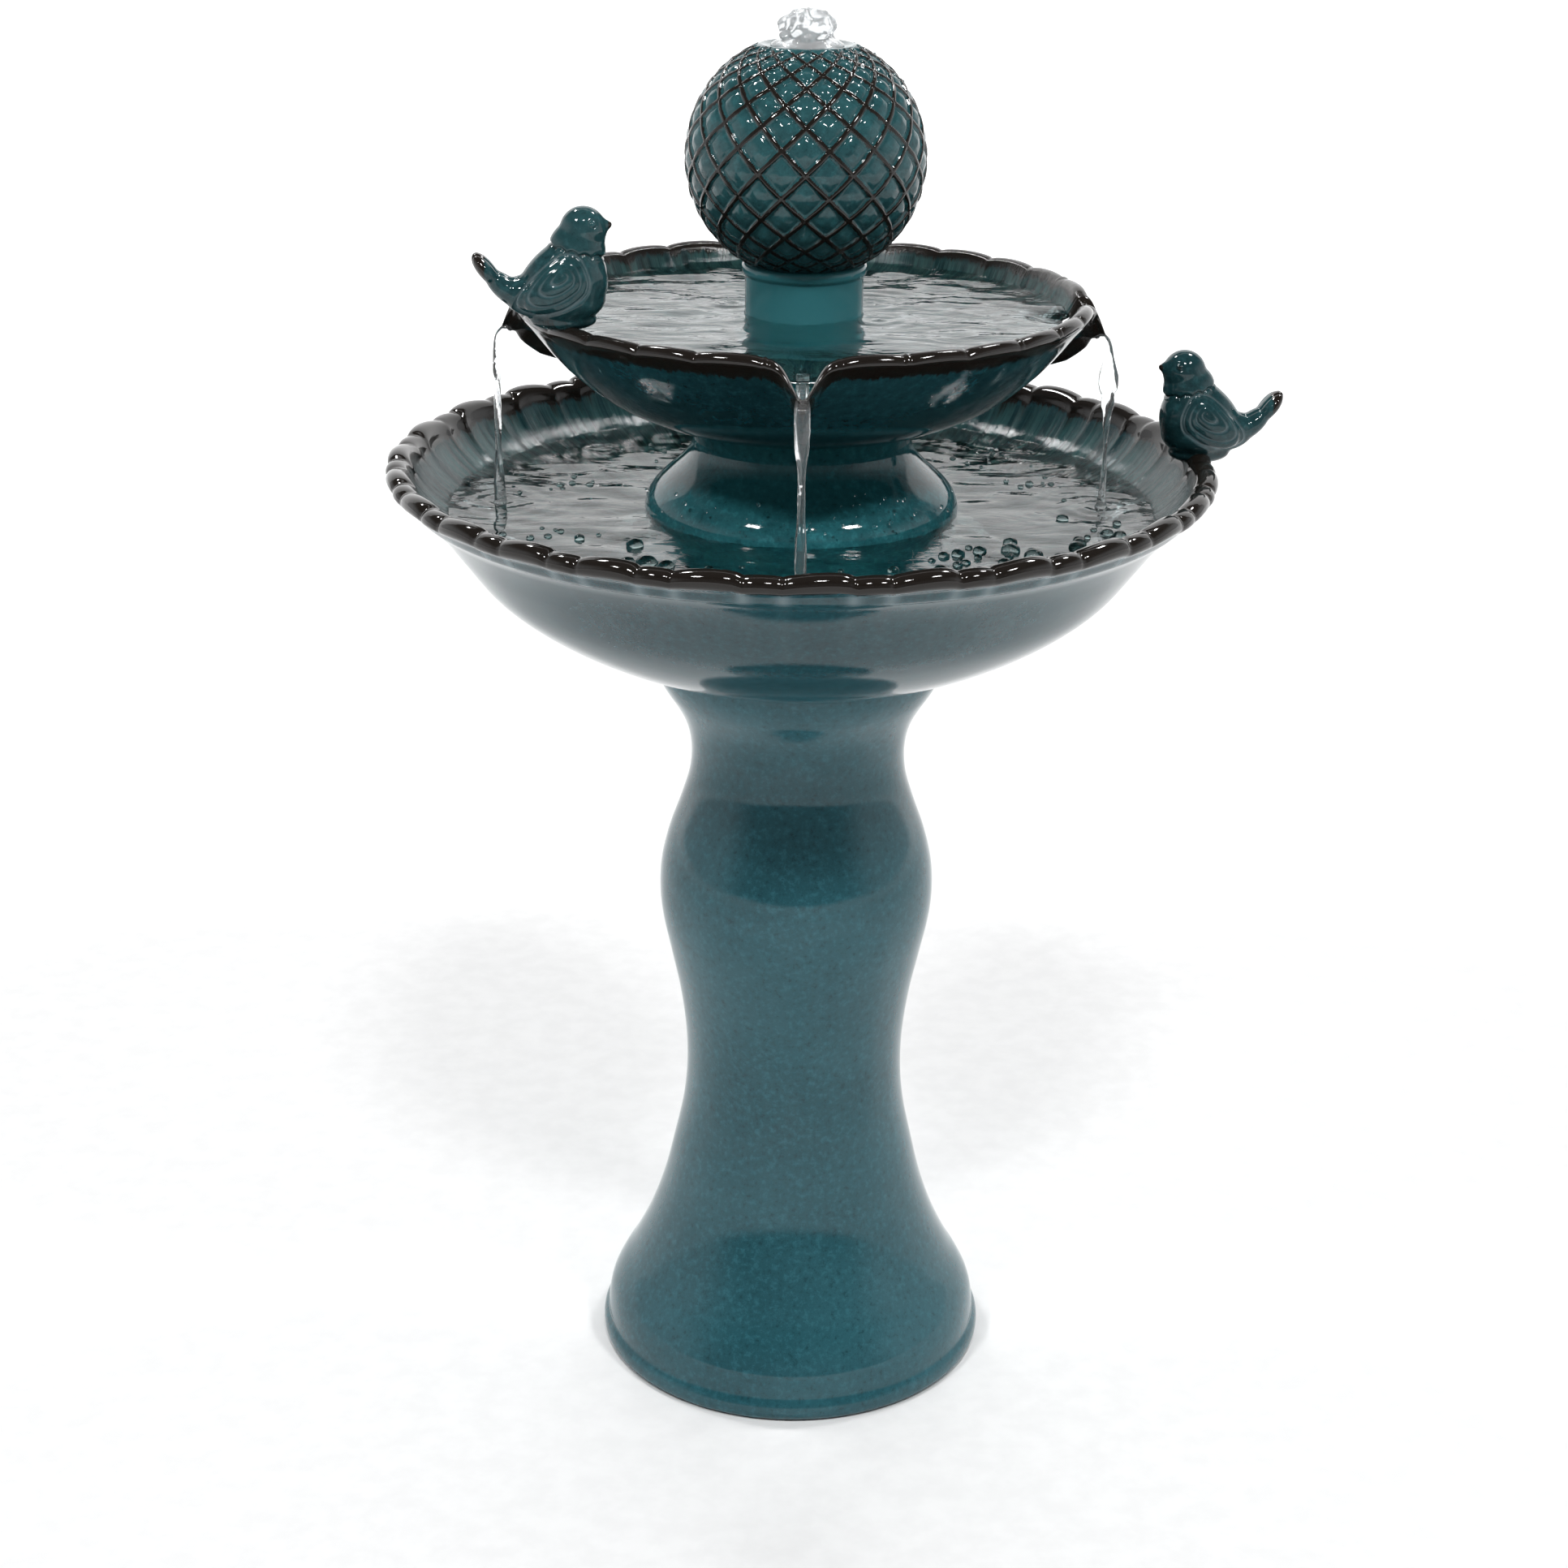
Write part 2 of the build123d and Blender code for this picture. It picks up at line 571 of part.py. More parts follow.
def stator_core():
    """Stack of steel laminations: a yoke, two legs and two pole faces."""
    half_t = CORE_T / 2
    back = -PUMP_REAR + COIL_T + COIL_BACK
    leg_out = PUMP_W / 2 - PUMP_WALL - CORE_PLAY
    leg_in = leg_out - CORE_LEG
    front = CHAMBER_BACK - PUMP_WALL - CORE_PLAY
    low = SHAFT_Z - half_t
    high = SHAFT_Z + half_t
    core = block(back, back + CORE_LEG, -leg_out, leg_out, low, high)
    for side in (-1, 1):
        ends = sorted((side * leg_in, side * leg_out))
        core += block(back, front, ends[0], ends[1], low, high)
        ends = sorted((side * WELL_BORE / 2, side * leg_out))
        core += block(WELL_END, front, ends[0], ends[1], low, high)
    return core - rotor_well()


def stator_coil():
    """Copper winding round the yoke."""
    half_t = CORE_T / 2
    back = -PUMP_REAR + COIL_T + COIL_BACK
    outer = block(back - COIL_T, back + CORE_LEG + COIL_T, -COIL_W / 2, COIL_W / 2,
                  SHAFT_Z - half_t - COIL_T, SHAFT_Z + half_t + COIL_T)
    outer = fillet(outer.edges().filter_by(Axis.Y), COIL_EDGE)
    return outer - block(back, back + CORE_LEG, -COIL_W, COIL_W, SHAFT_Z - half_t, SHAFT_Z + half_t)


def potting(core, coil):
    """Resin that fills the motor bay round the stator."""
    return motor_bay() - rotor_well() - core - coil


def volute_cover():
    """Front plate with the inlet eye, and spokes that hold the front bearing."""
    plate = round_x(COVER_R, CHAMBER_FRONT, COVER_FRONT)
    plate -= round_x(COVER_EYE_R, CHAMBER_FRONT - PASS, COVER_FRONT + PASS)
    for turn in range(3):
        spoke = block(CHAMBER_FRONT, COVER_FRONT, -SPOKE_W / 2, SPOKE_W / 2, 0, COVER_EYE_R + PASS)
        plate += Pos(0, 0, SHAFT_Z) * Rot(turn * 120, 0, 0) * spoke
    plate += round_x(HUB_R, CHAMBER_FRONT, COVER_FRONT)
    return plate - round_x(BEARING_R, CHAMBER_FRONT - PASS, COVER_FRONT + PASS)


def bearing(start, end):
    """Rubber bush round the shaft."""
    return round_x(BEARING_R, start, end) - round_x(SHAFT_R, start - PASS, end + PASS)


def rotor_magnet():
    """Magnet that turns in the well."""
    bore = round_x(SHAFT_R + SHAFT_RUN, -PUMP_REAR, 0)
    return round_x(MAGNET_R, MAGNET_FRONT - MAGNET_L + BEARING_L, MAGNET_FRONT) - bore


def impeller():
    """Hub with straight blades, pressed on the magnet's front."""
    front = CHAMBER_FRONT - IMPELLER_GAP
    wheel = round_x(IMPELLER_HUB_R, MAGNET_FRONT, front)
    wheel += round_x(MAGNET_R, MAGNET_FRONT, MAGNET_FRONT + IMPELLER_DISC)
    for blade in range(BLADES):
        vane = block(front - IMPELLER_L, front, -BLADE_T / 2, BLADE_T / 2, 0, BLADE_R)
        wheel += Pos(0, 0, SHAFT_Z) * Rot(blade * 360 / BLADES, 0, 0) * vane
    return wheel - round_x(SHAFT_R + SHAFT_RUN, -PUMP_REAR, CHAMBER_FRONT)


def intake_cover():
    """Slotted shell in front of the pump, with rails for the flow slider."""
    half_w = INTAKE_SHELL_W / 2
    half_h = INTAKE_SHELL_H / 2
    wall = INTAKE_SHELL_WALL
    shell = block(COVER_FRONT, SHELL_FRONT, -half_w, half_w, SHAFT_Z - half_h, SHAFT_Z + half_h)
    shell = fillet(shell.edges().filter_by(Axis.X), INTAKE_SHELL_EDGE)
    shell -= block(COVER_FRONT - PASS, SHELL_FRONT - wall, -half_w + wall, half_w - wall,
                   SHAFT_Z - half_h + wall, SHAFT_Z + half_h - wall)
    first = -SLOT_PITCH * (SLOTS - 1) / 2
    for slot in range(SLOTS):
        y = first + slot * SLOT_PITCH
        shell -= block(SHELL_FRONT - 2 * wall, SHELL_FRONT + PASS, y - SLOT_W / 2, y + SLOT_W / 2,
                       SHAFT_Z - SLOT_H / 2, SHAFT_Z + SLOT_H / 2)
    rail_in = SLIDER_W / 2 + SLIDER_PLAY
    rail_h = SLIDER_T + 2 * SLIDER_PLAY
    for side in (-1, 1):
        ends = sorted((side * rail_in, side * (rail_in + RAIL_W)))
        shell += block(SHELL_FRONT, SHELL_FRONT + rail_h, ends[0], ends[1],
                       SHAFT_Z - SLOT_H / 2, SHAFT_Z + SLOT_H / 2)
        ends = sorted((side * (rail_in - 2 * SLIDER_PLAY), side * (rail_in + RAIL_W)))
        shell += block(SHELL_FRONT + rail_h, SHELL_FRONT + rail_h + RAIL_LIP, ends[0], ends[1],
                       SHAFT_Z - SLOT_H / 2, SHAFT_Z + SLOT_H / 2)
    return shell


def flow_slider():
    """Shutter with a thumb rib, over the intake slots."""
    back = SHELL_FRONT + SLIDER_PLAY
    low = SHAFT_Z - SLOT_H / 2
    height = SLOT_H - SLIDER_TRAVEL
    plate = block(back, back + SLIDER_T, -SLIDER_W / 2, SLIDER_W / 2, low, low + height)
    rib = block(back, back + 2.5 * SLIDER_T, -SLIDER_W / 4, SLIDER_W / 4,
                low + (height - SLIDER_RIB) / 2, low + (height + SLIDER_RIB) / 2)
    return plate + rib


def filter_foam():
    """Foam pad inside the intake cover."""
    half_w = INTAKE_SHELL_W / 2 - INTAKE_SHELL_WALL - FOAM_PLAY
    half_h = INTAKE_SHELL_H / 2 - INTAKE_SHELL_WALL - FOAM_PLAY
    back = COVER_FRONT + FOAM_GAP
    return block(back, SHELL_FRONT - INTAKE_SHELL_WALL, -half_w, half_w,
                 SHAFT_Z - half_h, SHAFT_Z + half_h)


def outlet_barb():
    """Flanged hose barb on top of the pump."""
    barb = round_z(BARB_FLANGE_R, PUMP_TOP, PUMP_TOP + BARB_FLANGE)
    barb += round_z(TUBE_BORE - TUBE_FIT, PUMP_TOP, PUMP_TOP + BARB_L)
    return barb - round_z(BARB_BORE, PUMP_TOP - PASS, PUMP_TOP + BARB_L + PASS)


def suction_cups():
    """Four rubber cups under the pump."""
    cup = turned(
        Line(rz(0, CUP_H / 3), rz(CUP_R - CUP_EDGE, 0)),
        Line(rz(CUP_R - CUP_EDGE, 0), rz(CUP_R, 0)),
        Line(rz(CUP_R, 0), rz(CUP_R / 2, CUP_H * 0.6)),
        Line(rz(CUP_R / 2, CUP_H * 0.6), rz(CUP_R / 2, CUP_H)),
        Line(rz(CUP_R / 2, CUP_H), rz(0, CUP_H)),
        Line(rz(0, CUP_H), rz(0, CUP_H / 3)),
    )
    middle = (CHAMBER_FRONT - PUMP_REAR) / 2
    cups = []
    for x in (middle - CUP_X, middle + CUP_X):
        for y in (-CUP_Y, CUP_Y):
            cups.append(Pos(x, y, FLOOR_Z) * cup)
    return Compound(children=cups)


def cord_gland():
    """Tapered rubber gland at the rear of the pump."""
    gland = Pos(-PUMP_REAR - GLAND_L / 2, 0, SHAFT_Z) * Rot(0, -90, 0) * Cone(GLAND_R, GLAND_R - GLAND_TAPER, GLAND_L)
    return gland - round_x(CORD_R, -PUMP_REAR - GLAND_L - PASS, -PUMP_REAR + PASS)


# ================================================================ the whole
def build():
    """Every piece in its place, by name."""
    bowl_low = lower_bowl()
    bowl_top = upper_bowl()
    core = stator_core()
    coil = stator_coil()
    well_back = WELL_END
    return {
        "pedestal": pedestal(),
        "lower_bowl": bowl_low,
        "riser_stand": riser_stand(),
        "upper_bowl": bowl_top,
        "ball_finial": ball_finial(),
        "bird_lower": perched(LOWER_BIRD_AZ, LOWER_BIRD_IN, LOWER_R, LOWER_Z + LOWER_H,
                              180 + LOWER_BIRD_AZ, bowl_low),
        "bird_upper": perched(UPPER_BIRD_AZ, UPPER_BIRD_IN, UPPER_R, UPPER_RIM,
                              UPPER_BIRD_HEADING, bowl_top),
        "cord_grommet": cord_grommet(),
        "tube_seal": tube_seal(),
        "riser_tube": riser_tube(),
        "jet_nozzle": jet_nozzle(),
        "pump_housing": pump_housing(),
        "volute_cover": volute_cover(),
        "intake_cover": intake_cover(),
        "flow_slider": flow_slider(),
        "filter_foam": filter_foam(),
        "outlet_barb": outlet_barb(),
        "impeller": impeller(),
        "rotor_magnet": rotor_magnet(),
        "impeller_shaft": round_x(SHAFT_R, well_back, COVER_FRONT),
        "front_bearing": bearing(CHAMBER_FRONT, COVER_FRONT),
        "rear_bearing": bearing(well_back, well_back + BEARING_L),
        "stator_core": core,
        "stator_coil": coil,
        "potting": potting(core, coil),
        "suction_cups": suction_cups(),
        "cord_gland": cord_gland(),
    }


for name, piece in build().items():
    export_step(piece, f"parts/{name}.step")
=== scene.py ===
import math
import random

import bmesh
import bpy
import numpy as np
from bpy.props import FloatProperty, IntProperty, PointerProperty
from mathutils import Matrix, Vector, noise


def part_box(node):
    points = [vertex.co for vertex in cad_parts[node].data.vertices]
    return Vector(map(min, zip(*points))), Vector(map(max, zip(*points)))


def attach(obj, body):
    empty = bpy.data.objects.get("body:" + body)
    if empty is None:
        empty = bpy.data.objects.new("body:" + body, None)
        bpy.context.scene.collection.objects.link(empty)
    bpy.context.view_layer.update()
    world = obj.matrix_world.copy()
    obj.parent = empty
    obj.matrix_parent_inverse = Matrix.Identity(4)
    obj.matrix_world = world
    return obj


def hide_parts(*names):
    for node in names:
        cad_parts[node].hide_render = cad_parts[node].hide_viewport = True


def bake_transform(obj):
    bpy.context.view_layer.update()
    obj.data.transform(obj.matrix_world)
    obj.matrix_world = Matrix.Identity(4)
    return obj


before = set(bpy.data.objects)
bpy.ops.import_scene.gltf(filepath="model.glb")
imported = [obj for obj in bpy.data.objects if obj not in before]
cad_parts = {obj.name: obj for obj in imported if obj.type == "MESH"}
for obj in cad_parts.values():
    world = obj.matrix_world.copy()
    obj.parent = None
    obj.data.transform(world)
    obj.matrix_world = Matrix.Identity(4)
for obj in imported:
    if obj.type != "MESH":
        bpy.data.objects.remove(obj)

bl_info = {
    "name": "Tiered bird bath",
    "version": (1, 0, 0),
    "blender": (4, 5, 0),
    "location": "3D View > Sidebar > Bird bath",
    "description": "Glazed bowls, ribbed ball, birds and running water on the packed frame",
    "category": "Object",
}

TAU = 2 * math.pi
MM = 0.001
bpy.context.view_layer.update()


# ---------------------------------------------------------------- outlines
def through(points, count):
    """A smooth line of evenly spaced points through the given ones."""
    p = np.array(points, float)
    ends = np.vstack([2 * p[0] - p[1], p, 2 * p[-1] - p[-2]])
    fine = []
    for a, b, c, d in zip(ends, ends[1:], ends[2:], ends[3:]):
        for t in np.linspace(0, 1, 24, endpoint=False):
            curve = 2 * b + (c - a) * t + (2 * a - 5 * b + 4 * c - d) * t**2 + (3 * b - a - 3 * c + d) * t**3
            fine.append(curve / 2)
    fine.append(p[-1])
    fine = np.array(fine)
    run = np.concatenate([[0], np.cumsum(np.linalg.norm(np.diff(fine, axis=0), axis=1))])
    even = np.linspace(0, run[-1], count)
    return np.column_stack([np.interp(even, run, fine[:, k]) for k in range(p.shape[1])])


def smoothstep(low, high, value):
    """0 below low, 1 above high, and a soft ramp between."""
    t = np.clip((np.asarray(value, float) - low) / (high - low), 0, 1)
    return t * t * (3 - 2 * t)


def turned(name, outline, steps, closed):
    """A surface turned about Z. A closed outline makes a ring, an open one ends on the axis."""
    bm = bmesh.new()
    along = bm.verts.layers.float.new("along")
    verts = []
    for index, (radius, height) in enumerate(outline):
        vert = bm.verts.new((radius, 0, height))
        vert[along] = index
        verts.append(vert)
    edges = [bm.edges.new(pair) for pair in zip(verts, verts[1:])]
    if closed:
        edges.append(bm.edges.new((verts[-1], verts[0])))
    bmesh.ops.spin(bm, geom=verts + edges, cent=(0, 0, 0), axis=(0, 0, 1), angle=TAU,
                   steps=steps, use_merge=True)
    bmesh.ops.remove_doubles(bm, verts=bm.verts, dist=1e-6)
    return finished(name, bm)


def finished(name, bm):
    """A smooth-shaded object from an edit mesh, its normals outward."""
    bmesh.ops.recalc_face_normals(bm, faces=bm.faces)
    for face in bm.faces:
        face.smooth = True
    mesh = bpy.data.meshes.new(name)
    bm.to_mesh(mesh)
    bm.free()
    made = bpy.data.objects.new(name, mesh)
    bpy.context.scene.collection.objects.link(made)
    return made


def coords(made):
    """Vertex places of an object, one row each."""
    flat = np.empty(len(made.data.vertices) * 3)
    made.data.vertices.foreach_get("co", flat)
    return flat.reshape(-1, 3)


def set_coords(made, rows):
    """Moves the vertices of an object."""
    made.data.vertices.foreach_set("co", rows.ravel())
    made.data.update()


def field(made, name):
    """Values of a float attribute."""
    values = np.empty(len(made.data.vertices))
    made.data.attributes[name].data.foreach_get("value", values)
    return values


def set_field(made, name, values):
    """Stores a float attribute, which the materials read."""
    layer = made.data.attributes.get(name) or made.data.attributes.new(name, "FLOAT", "POINT")
    layer.data.foreach_set("value", np.asarray(values, np.float32))


def polar(rows):
    """Radius and turn, from 0 to 1, of each row about Z."""
    return np.hypot(rows[:, 0], rows[:, 1]), (np.arctan2(rows[:, 1], rows[:, 0]) / TAU) % 1.0


def from_polar(radius, turn, height):
    """Rows of places from radius, turn and height."""
    return np.column_stack([radius * np.cos(TAU * turn), radius * np.sin(TAU * turn), height])


def applied(made):
    """Applies an object's modifiers."""
    graph = bpy.context.evaluated_depsgraph_get()
    graph.update()
    mesh = bpy.data.meshes.new_from_object(made.evaluated_get(graph))
    made.modifiers.clear()
    made.data = mesh
    for face in mesh.polygons:
        face.use_smooth = True
    return made


def painted(made, material):
    """Gives a piece its material."""
    made.data.materials.clear()
    made.data.materials.append(material)
    return made


def repaint(nodes, material):
    """Gives CAD nodes a material."""
    for node in nodes:
        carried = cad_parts[node]
        if not carried.material_slots:
            carried.data.materials.append(material)
        for place in carried.material_slots:
            place.material = material


# ---------------------------------------------------------------- materials
class Shader:
    """A node material with one Principled shader."""

    def __init__(self, name):
        self.material = bpy.data.materials.new(name)
        self.material.use_nodes = True
        self.tree = self.material.node_tree
        self.tree.nodes.clear()
        self.out = self.tree.nodes.new("ShaderNodeOutputMaterial")
        self.skin = self.tree.nodes.new("ShaderNodeBsdfPrincipled")
        self.tree.links.new(self.skin.outputs[0], self.out.inputs["Surface"])
        self.place = self.tree.nodes.new("ShaderNodeTexCoord").outputs["Object"]

    def put(self, socket, value):
        """Links a socket, or sets its value."""
        if isinstance(value, bpy.types.NodeSocket):
            self.tree.links.new(value, socket)
        elif isinstance(value, tuple) and len(value) == 3 and len(socket.default_value) == 4:
            socket.default_value = (*value, 1)
        else:
            socket.default_value = value

    def set(self, **values):
        """Sets inputs of the Principled shader, with _ for a space."""
        for name, value in values.items():
            self.put(self.skin.inputs[name.replace("_", " ")], value)

    def noise(self, scale, detail=4.0, rough=0.55, place=None, distortion=0.0):
        """Noise, from 0 to 1."""
        node = self.tree.nodes.new("ShaderNodeTexNoise")
        self.put(node.inputs["Vector"], place or self.place)
        self.put(node.inputs["Scale"], scale)
        self.put(node.inputs["Detail"], detail)
        self.put(node.inputs["Roughness"], rough)
        self.put(node.inputs["Distortion"], distortion)
        return node.outputs[0]

    def cells(self, scale, place=None):
        """Distance to the nearest of scattered points."""
        node = self.tree.nodes.new("ShaderNodeTexVoronoi")
        self.put(node.inputs["Vector"], place or self.place)
        self.put(node.inputs["Scale"], scale)
        return node.outputs["Distance"]

    def ramp(self, value, low, high, to_low=0.0, to_high=1.0):
        """Maps a range to another, softly and held at its ends."""
        node = self.tree.nodes.new("ShaderNodeMapRange")
        node.interpolation_type = "SMOOTHSTEP"
        self.put(node.inputs["Value"], value)
        for index, limit in enumerate((low, high, to_low, to_high)):
            node.inputs[index + 1].default_value = limit
        return node.outputs["Result"]

    def mix(self, share, first, second):
        """Mixes two colours."""
        node = self.tree.nodes.new("ShaderNodeMix")
        node.data_type = "RGBA"
        self.put(node.inputs["Factor"], share)
        self.put(node.inputs["A"], first)
        self.put(node.inputs["B"], second)
        return node.outputs["Result"]

    def math(self, operation, first, second=0.0):
        """Arithmetic on two values."""
        node = self.tree.nodes.new("ShaderNodeMath")
        node.operation = operation
        self.put(node.inputs[0], first)
        self.put(node.inputs[1], second)
        return node.outputs[0]

    def stored(self, name):
        """A float attribute of the mesh."""
        node = self.tree.nodes.new("ShaderNodeAttribute")
        node.attribute_name = name
        return node.outputs["Fac"]

    def stretched(self, scale):
        """Object coordinates, scaled along each axis."""
        node = self.tree.nodes.new("ShaderNodeMapping")
        self.put(node.inputs["Vector"], self.place)
        node.inputs["Scale"].default_value = scale
        return node.outputs["Vector"]

    def around(self, fine, rise):
        """A place that changes fast round Z and slowly along a wall, for streaks that run down it."""
        flat = self.tree.nodes.new("ShaderNodeVectorMath")
        flat.operation = "MULTIPLY"
        self.put(flat.inputs[0], self.place)
        flat.inputs[1].default_value = (1, 1, 0)
        unit = self.tree.nodes.new("ShaderNodeVectorMath")
        unit.operation = "NORMALIZE"
        self.put(unit.inputs[0], flat.outputs[0])
        spread = self.tree.nodes.new("ShaderNodeVectorMath")
        spread.operation = "MULTIPLY"
        self.put(spread.inputs[0], unit.outputs[0])
        spread.inputs[1].default_value = (fine, fine, 0)
        total = self.tree.nodes.new("ShaderNodeVectorMath")
        total.operation = "ADD"
        self.put(total.inputs[0], spread.outputs[0])
        self.put(total.inputs[1], self.stretched((rise, rise, rise)))
        return total.outputs[0]

    def bump(self, height, strength, distance):
        """Raises the surface by a texture."""
        node = self.tree.nodes.new("ShaderNodeBump")
        self.put(node.inputs["Strength"], strength)
        self.put(node.inputs["Distance"], distance)
        self.put(node.inputs["Height"], height)
        self.tree.links.new(node.outputs[0], self.skin.inputs["Normal"])
        return node.outputs[0]


BROWN = (0.011, 0.0085, 0.0068)
# PALE_LINE is the colour of the crease lines; on the lower bowl's lobed band they are painted highlights
# between the lobes
PALE_LINE = (0.16, 0.22, 0.24)


def glaze(name, deep, light, streaks, mottle=150.0):
    """Glossy fired glaze that thins to brown on edges, with cloudy tone and fine mottling, plus painted light:
    pale crease lines as painted highlights, a painted lighter column, and painted shade in the brown mask.
    """
    shader = Shader(name)
    cloud = shader.noise(9.0, 5.0, 0.6)
    grain = shader.noise(mottle, 6.0, 0.7)
    speck = shader.ramp(shader.cells(420.0), 0.08, 0.2, 1.0, 0.0)
    tone = shader.mix(shader.ramp(cloud, 0.3, 0.7), deep, light)
    fleck = shader.math("MULTIPLY", shader.ramp(grain, 0.48, 0.68), 0.5)
    tone = shader.mix(fleck, tone, tuple(1.6 * part for part in light))
    tone = shader.mix(shader.ramp(grain, 0.3, 0.46, 0.5, 0.0), tone, tuple(0.3 * part for part in deep))
    tone = shader.mix(shader.math("MULTIPLY", speck, 0.22), tone, BROWN)
    run = shader.noise(1.0, 7.0, 0.75, shader.around(30.0, 5.0))
    height = shader.math("MULTIPLY", grain, 0.25)
    if streaks:
        inside = shader.stored("inside")
        wash = shader.mix(shader.ramp(run, 0.38, 0.62), (0.005, 0.026, 0.029), (0.040, 0.104, 0.102))
        rust = shader.noise(1.0, 4.0, 0.6, shader.around(11.0, 9.0))
        wash = shader.mix(shader.ramp(rust, 0.5, 0.75, 0.0, 0.45), wash, (0.018, 0.015, 0.011))
        tone = shader.mix(inside, tone, wash)
        # The column is painted a lighter teal than the rest of the bowl: painted light, a lit copy of the same
        # glaze
        tone = shader.mix(shader.stored("column"), tone, (0.042, 0.190, 0.215))
        height = shader.math("ADD", height, shader.math("MULTIPLY", shader.math("MULTIPLY", run, inside), 5.0))
    crease = shader.stored("crease")
    # Pale crease lines: painted highlights along the creases between the lower bowl's lobes, and pale lines
    # along the birds' feathers
    tone = shader.mix(shader.math("MULTIPLY", crease, 0.75), tone, PALE_LINE)
    # The break mask turns the glaze brown: real glaze breaks on edges, plus painted shade in the line under the
    # bowl on the pedestal's mouth
    break_and_shade = shader.math("ADD", shader.stored("glaze_break_and_painted_shade"), shader.ramp(run, 0.35, 0.7, -0.18, 0.18))
    tone = shader.mix(shader.ramp(break_and_shade, 0.38, 0.66), tone, BROWN)
    shader.set(Base_Color=tone, Roughness=shader.ramp(grain, 0.3, 0.7, 0.02, 0.06), IOR=1.46)
    shader.bump(height, 0.35, 0.0004)
    return shader.material


def water(name, tint, ripple, milk=0.0):
    """Clear water with a rippled skin, whiter where it carries air."""
    shader = Shader(name)
    swell = shader.noise(1.0, 3.0, 0.5, shader.stretched((26.0, 60.0, 40.0)), 0.6)
    fine = shader.noise(1.0, 3.0, 0.5, shader.stretched((90.0, 170.0, 120.0)))
    height = shader.math("ADD", swell, shader.math("MULTIPLY", fine, 0.25))
    shader.set(Base_Color=tint, Roughness=0.02, IOR=1.333, Transmission_Weight=1.0 - milk)
    shader.bump(height, ripple, 0.0012)
    return shader.material


def clear_plastic():
    """Clear tubing with faint draw lines."""
    shader = Shader("clear_tubing")
    lines = shader.noise(1.0, 3.0, 0.6, shader.stretched((500.0, 500.0, 20.0)))
    shader.set(Base_Color=(0.93, 0.96, 0.96), Roughness=shader.ramp(lines, 0.3, 0.7, 0.04, 0.12),
               IOR=1.45, Transmission_Weight=1.0)
    shader.bump(lines, 0.1, 0.0002)
    return shader.material


def moulded(name, colour, grain, rough, depth=0.0002, metal=0.0):
    """Moulded plastic, rubber, resin or metal with a fine grain and slight tone change."""
    shader = Shader(name)
    texture = shader.noise(grain, 5.0, 0.65)
    patch = shader.noise(25.0, 4.0, 0.6)
    light = tuple(min(1.0, 1.6 * part + 0.01) for part in colour)
    tone = shader.mix(shader.ramp(patch, 0.3, 0.75, 0.0, 0.6), colour, light)
    shader.set(Base_Color=tone, Roughness=shader.ramp(texture, 0.3, 0.7, rough - 0.08, rough + 0.1),
               Metallic=metal)
    shader.bump(texture, 0.4, depth)
    return shader.material


def foam_pad():
    """Open-cell foam."""
    shader = Shader("foam_cells")
    cells = shader.cells(900.0)
    tone = shader.mix(shader.ramp(cells, 0.1, 0.5), (0.008, 0.008, 0.009), (0.06, 0.06, 0.065))
    shader.set(Base_Color=tone, Roughness=0.95)
    shader.bump(cells, 1.0, 0.0008)
    return shader.material


def winding():
    """Enamelled copper wire, wound side by side."""
    shader = Shader("wound_wire")
    wave = shader.tree.nodes.new("ShaderNodeTexWave")
    wave.bands_direction = "Y"
    shader.put(wave.inputs["Vector"], shader.place)
    wave.inputs["Scale"].default_value = 620.0
    turns = wave.outputs["Fac"]
    tone = shader.mix(turns, (0.14, 0.035, 0.012), (0.52, 0.19, 0.06))
    shader.set(Base_Color=tone, Roughness=0.3, Metallic=0.8)
    shader.bump(turns, 0.8, 0.0003)
    return shader.material


def laminations():
    """Stacked steel sheets."""
    shader = Shader("steel_sheets")
    wave = shader.tree.nodes.new("ShaderNodeTexWave")
    wave.bands_direction = "Z"
    shader.put(wave.inputs["Vector"], shader.place)
    wave.inputs["Scale"].default_value = 640.0
    sheets = wave.outputs["Fac"]
    tone = shader.mix(sheets, (0.05, 0.05, 0.055), (0.33, 0.33, 0.34))
    shader.set(Base_Color=tone, Roughness=0.38, Metallic=0.9)
    shader.bump(sheets, 0.8, 0.0002)
    return shader.material


# ---------------------------------------------------------------- pedestal and bowls
def drill(made, bm):
    """Cuts the closed shape in an edit mesh out of an object."""
    tool = finished("drill", bm)
    cut = made.modifiers.new("cut", "BOOLEAN")
    cut.object = tool
    cut.operation = "DIFFERENCE"
    cut.solver = "EXACT"
    applied(made)
    bpy.data.objects.remove(tool)


def crimp(turn, lobes, share):
    """Rim crimped into wide lobes with a narrow one between: 0 in a crease, 1 on a wide lobe."""
    at = (turn * lobes) % 1.0
    wide = np.sin(math.pi * np.clip(at / share, 0, 1))
    narrow = 0.72 * np.sin(math.pi * np.clip((at - share) / (1 - share), 0, 1))
    return np.maximum(wide, narrow) ** 0.45


def crease_line(turn, lobes, share, width):
    """1 on the creases between lobes, fading over a share of the pitch."""
    at = (turn * lobes) % 1.0
    away = np.minimum(np.minimum(at, 1 - at), np.abs(at - share))
    return np.exp(-((away / width) ** 2))


def handmade(turn):
    """A turn with the small unevenness of a hand-pressed rim."""
    return turn + 0.0016 * np.sin(TAU * 3 * turn + 1.0) + 0.001 * np.sin(TAU * 7 * turn + 2.3)


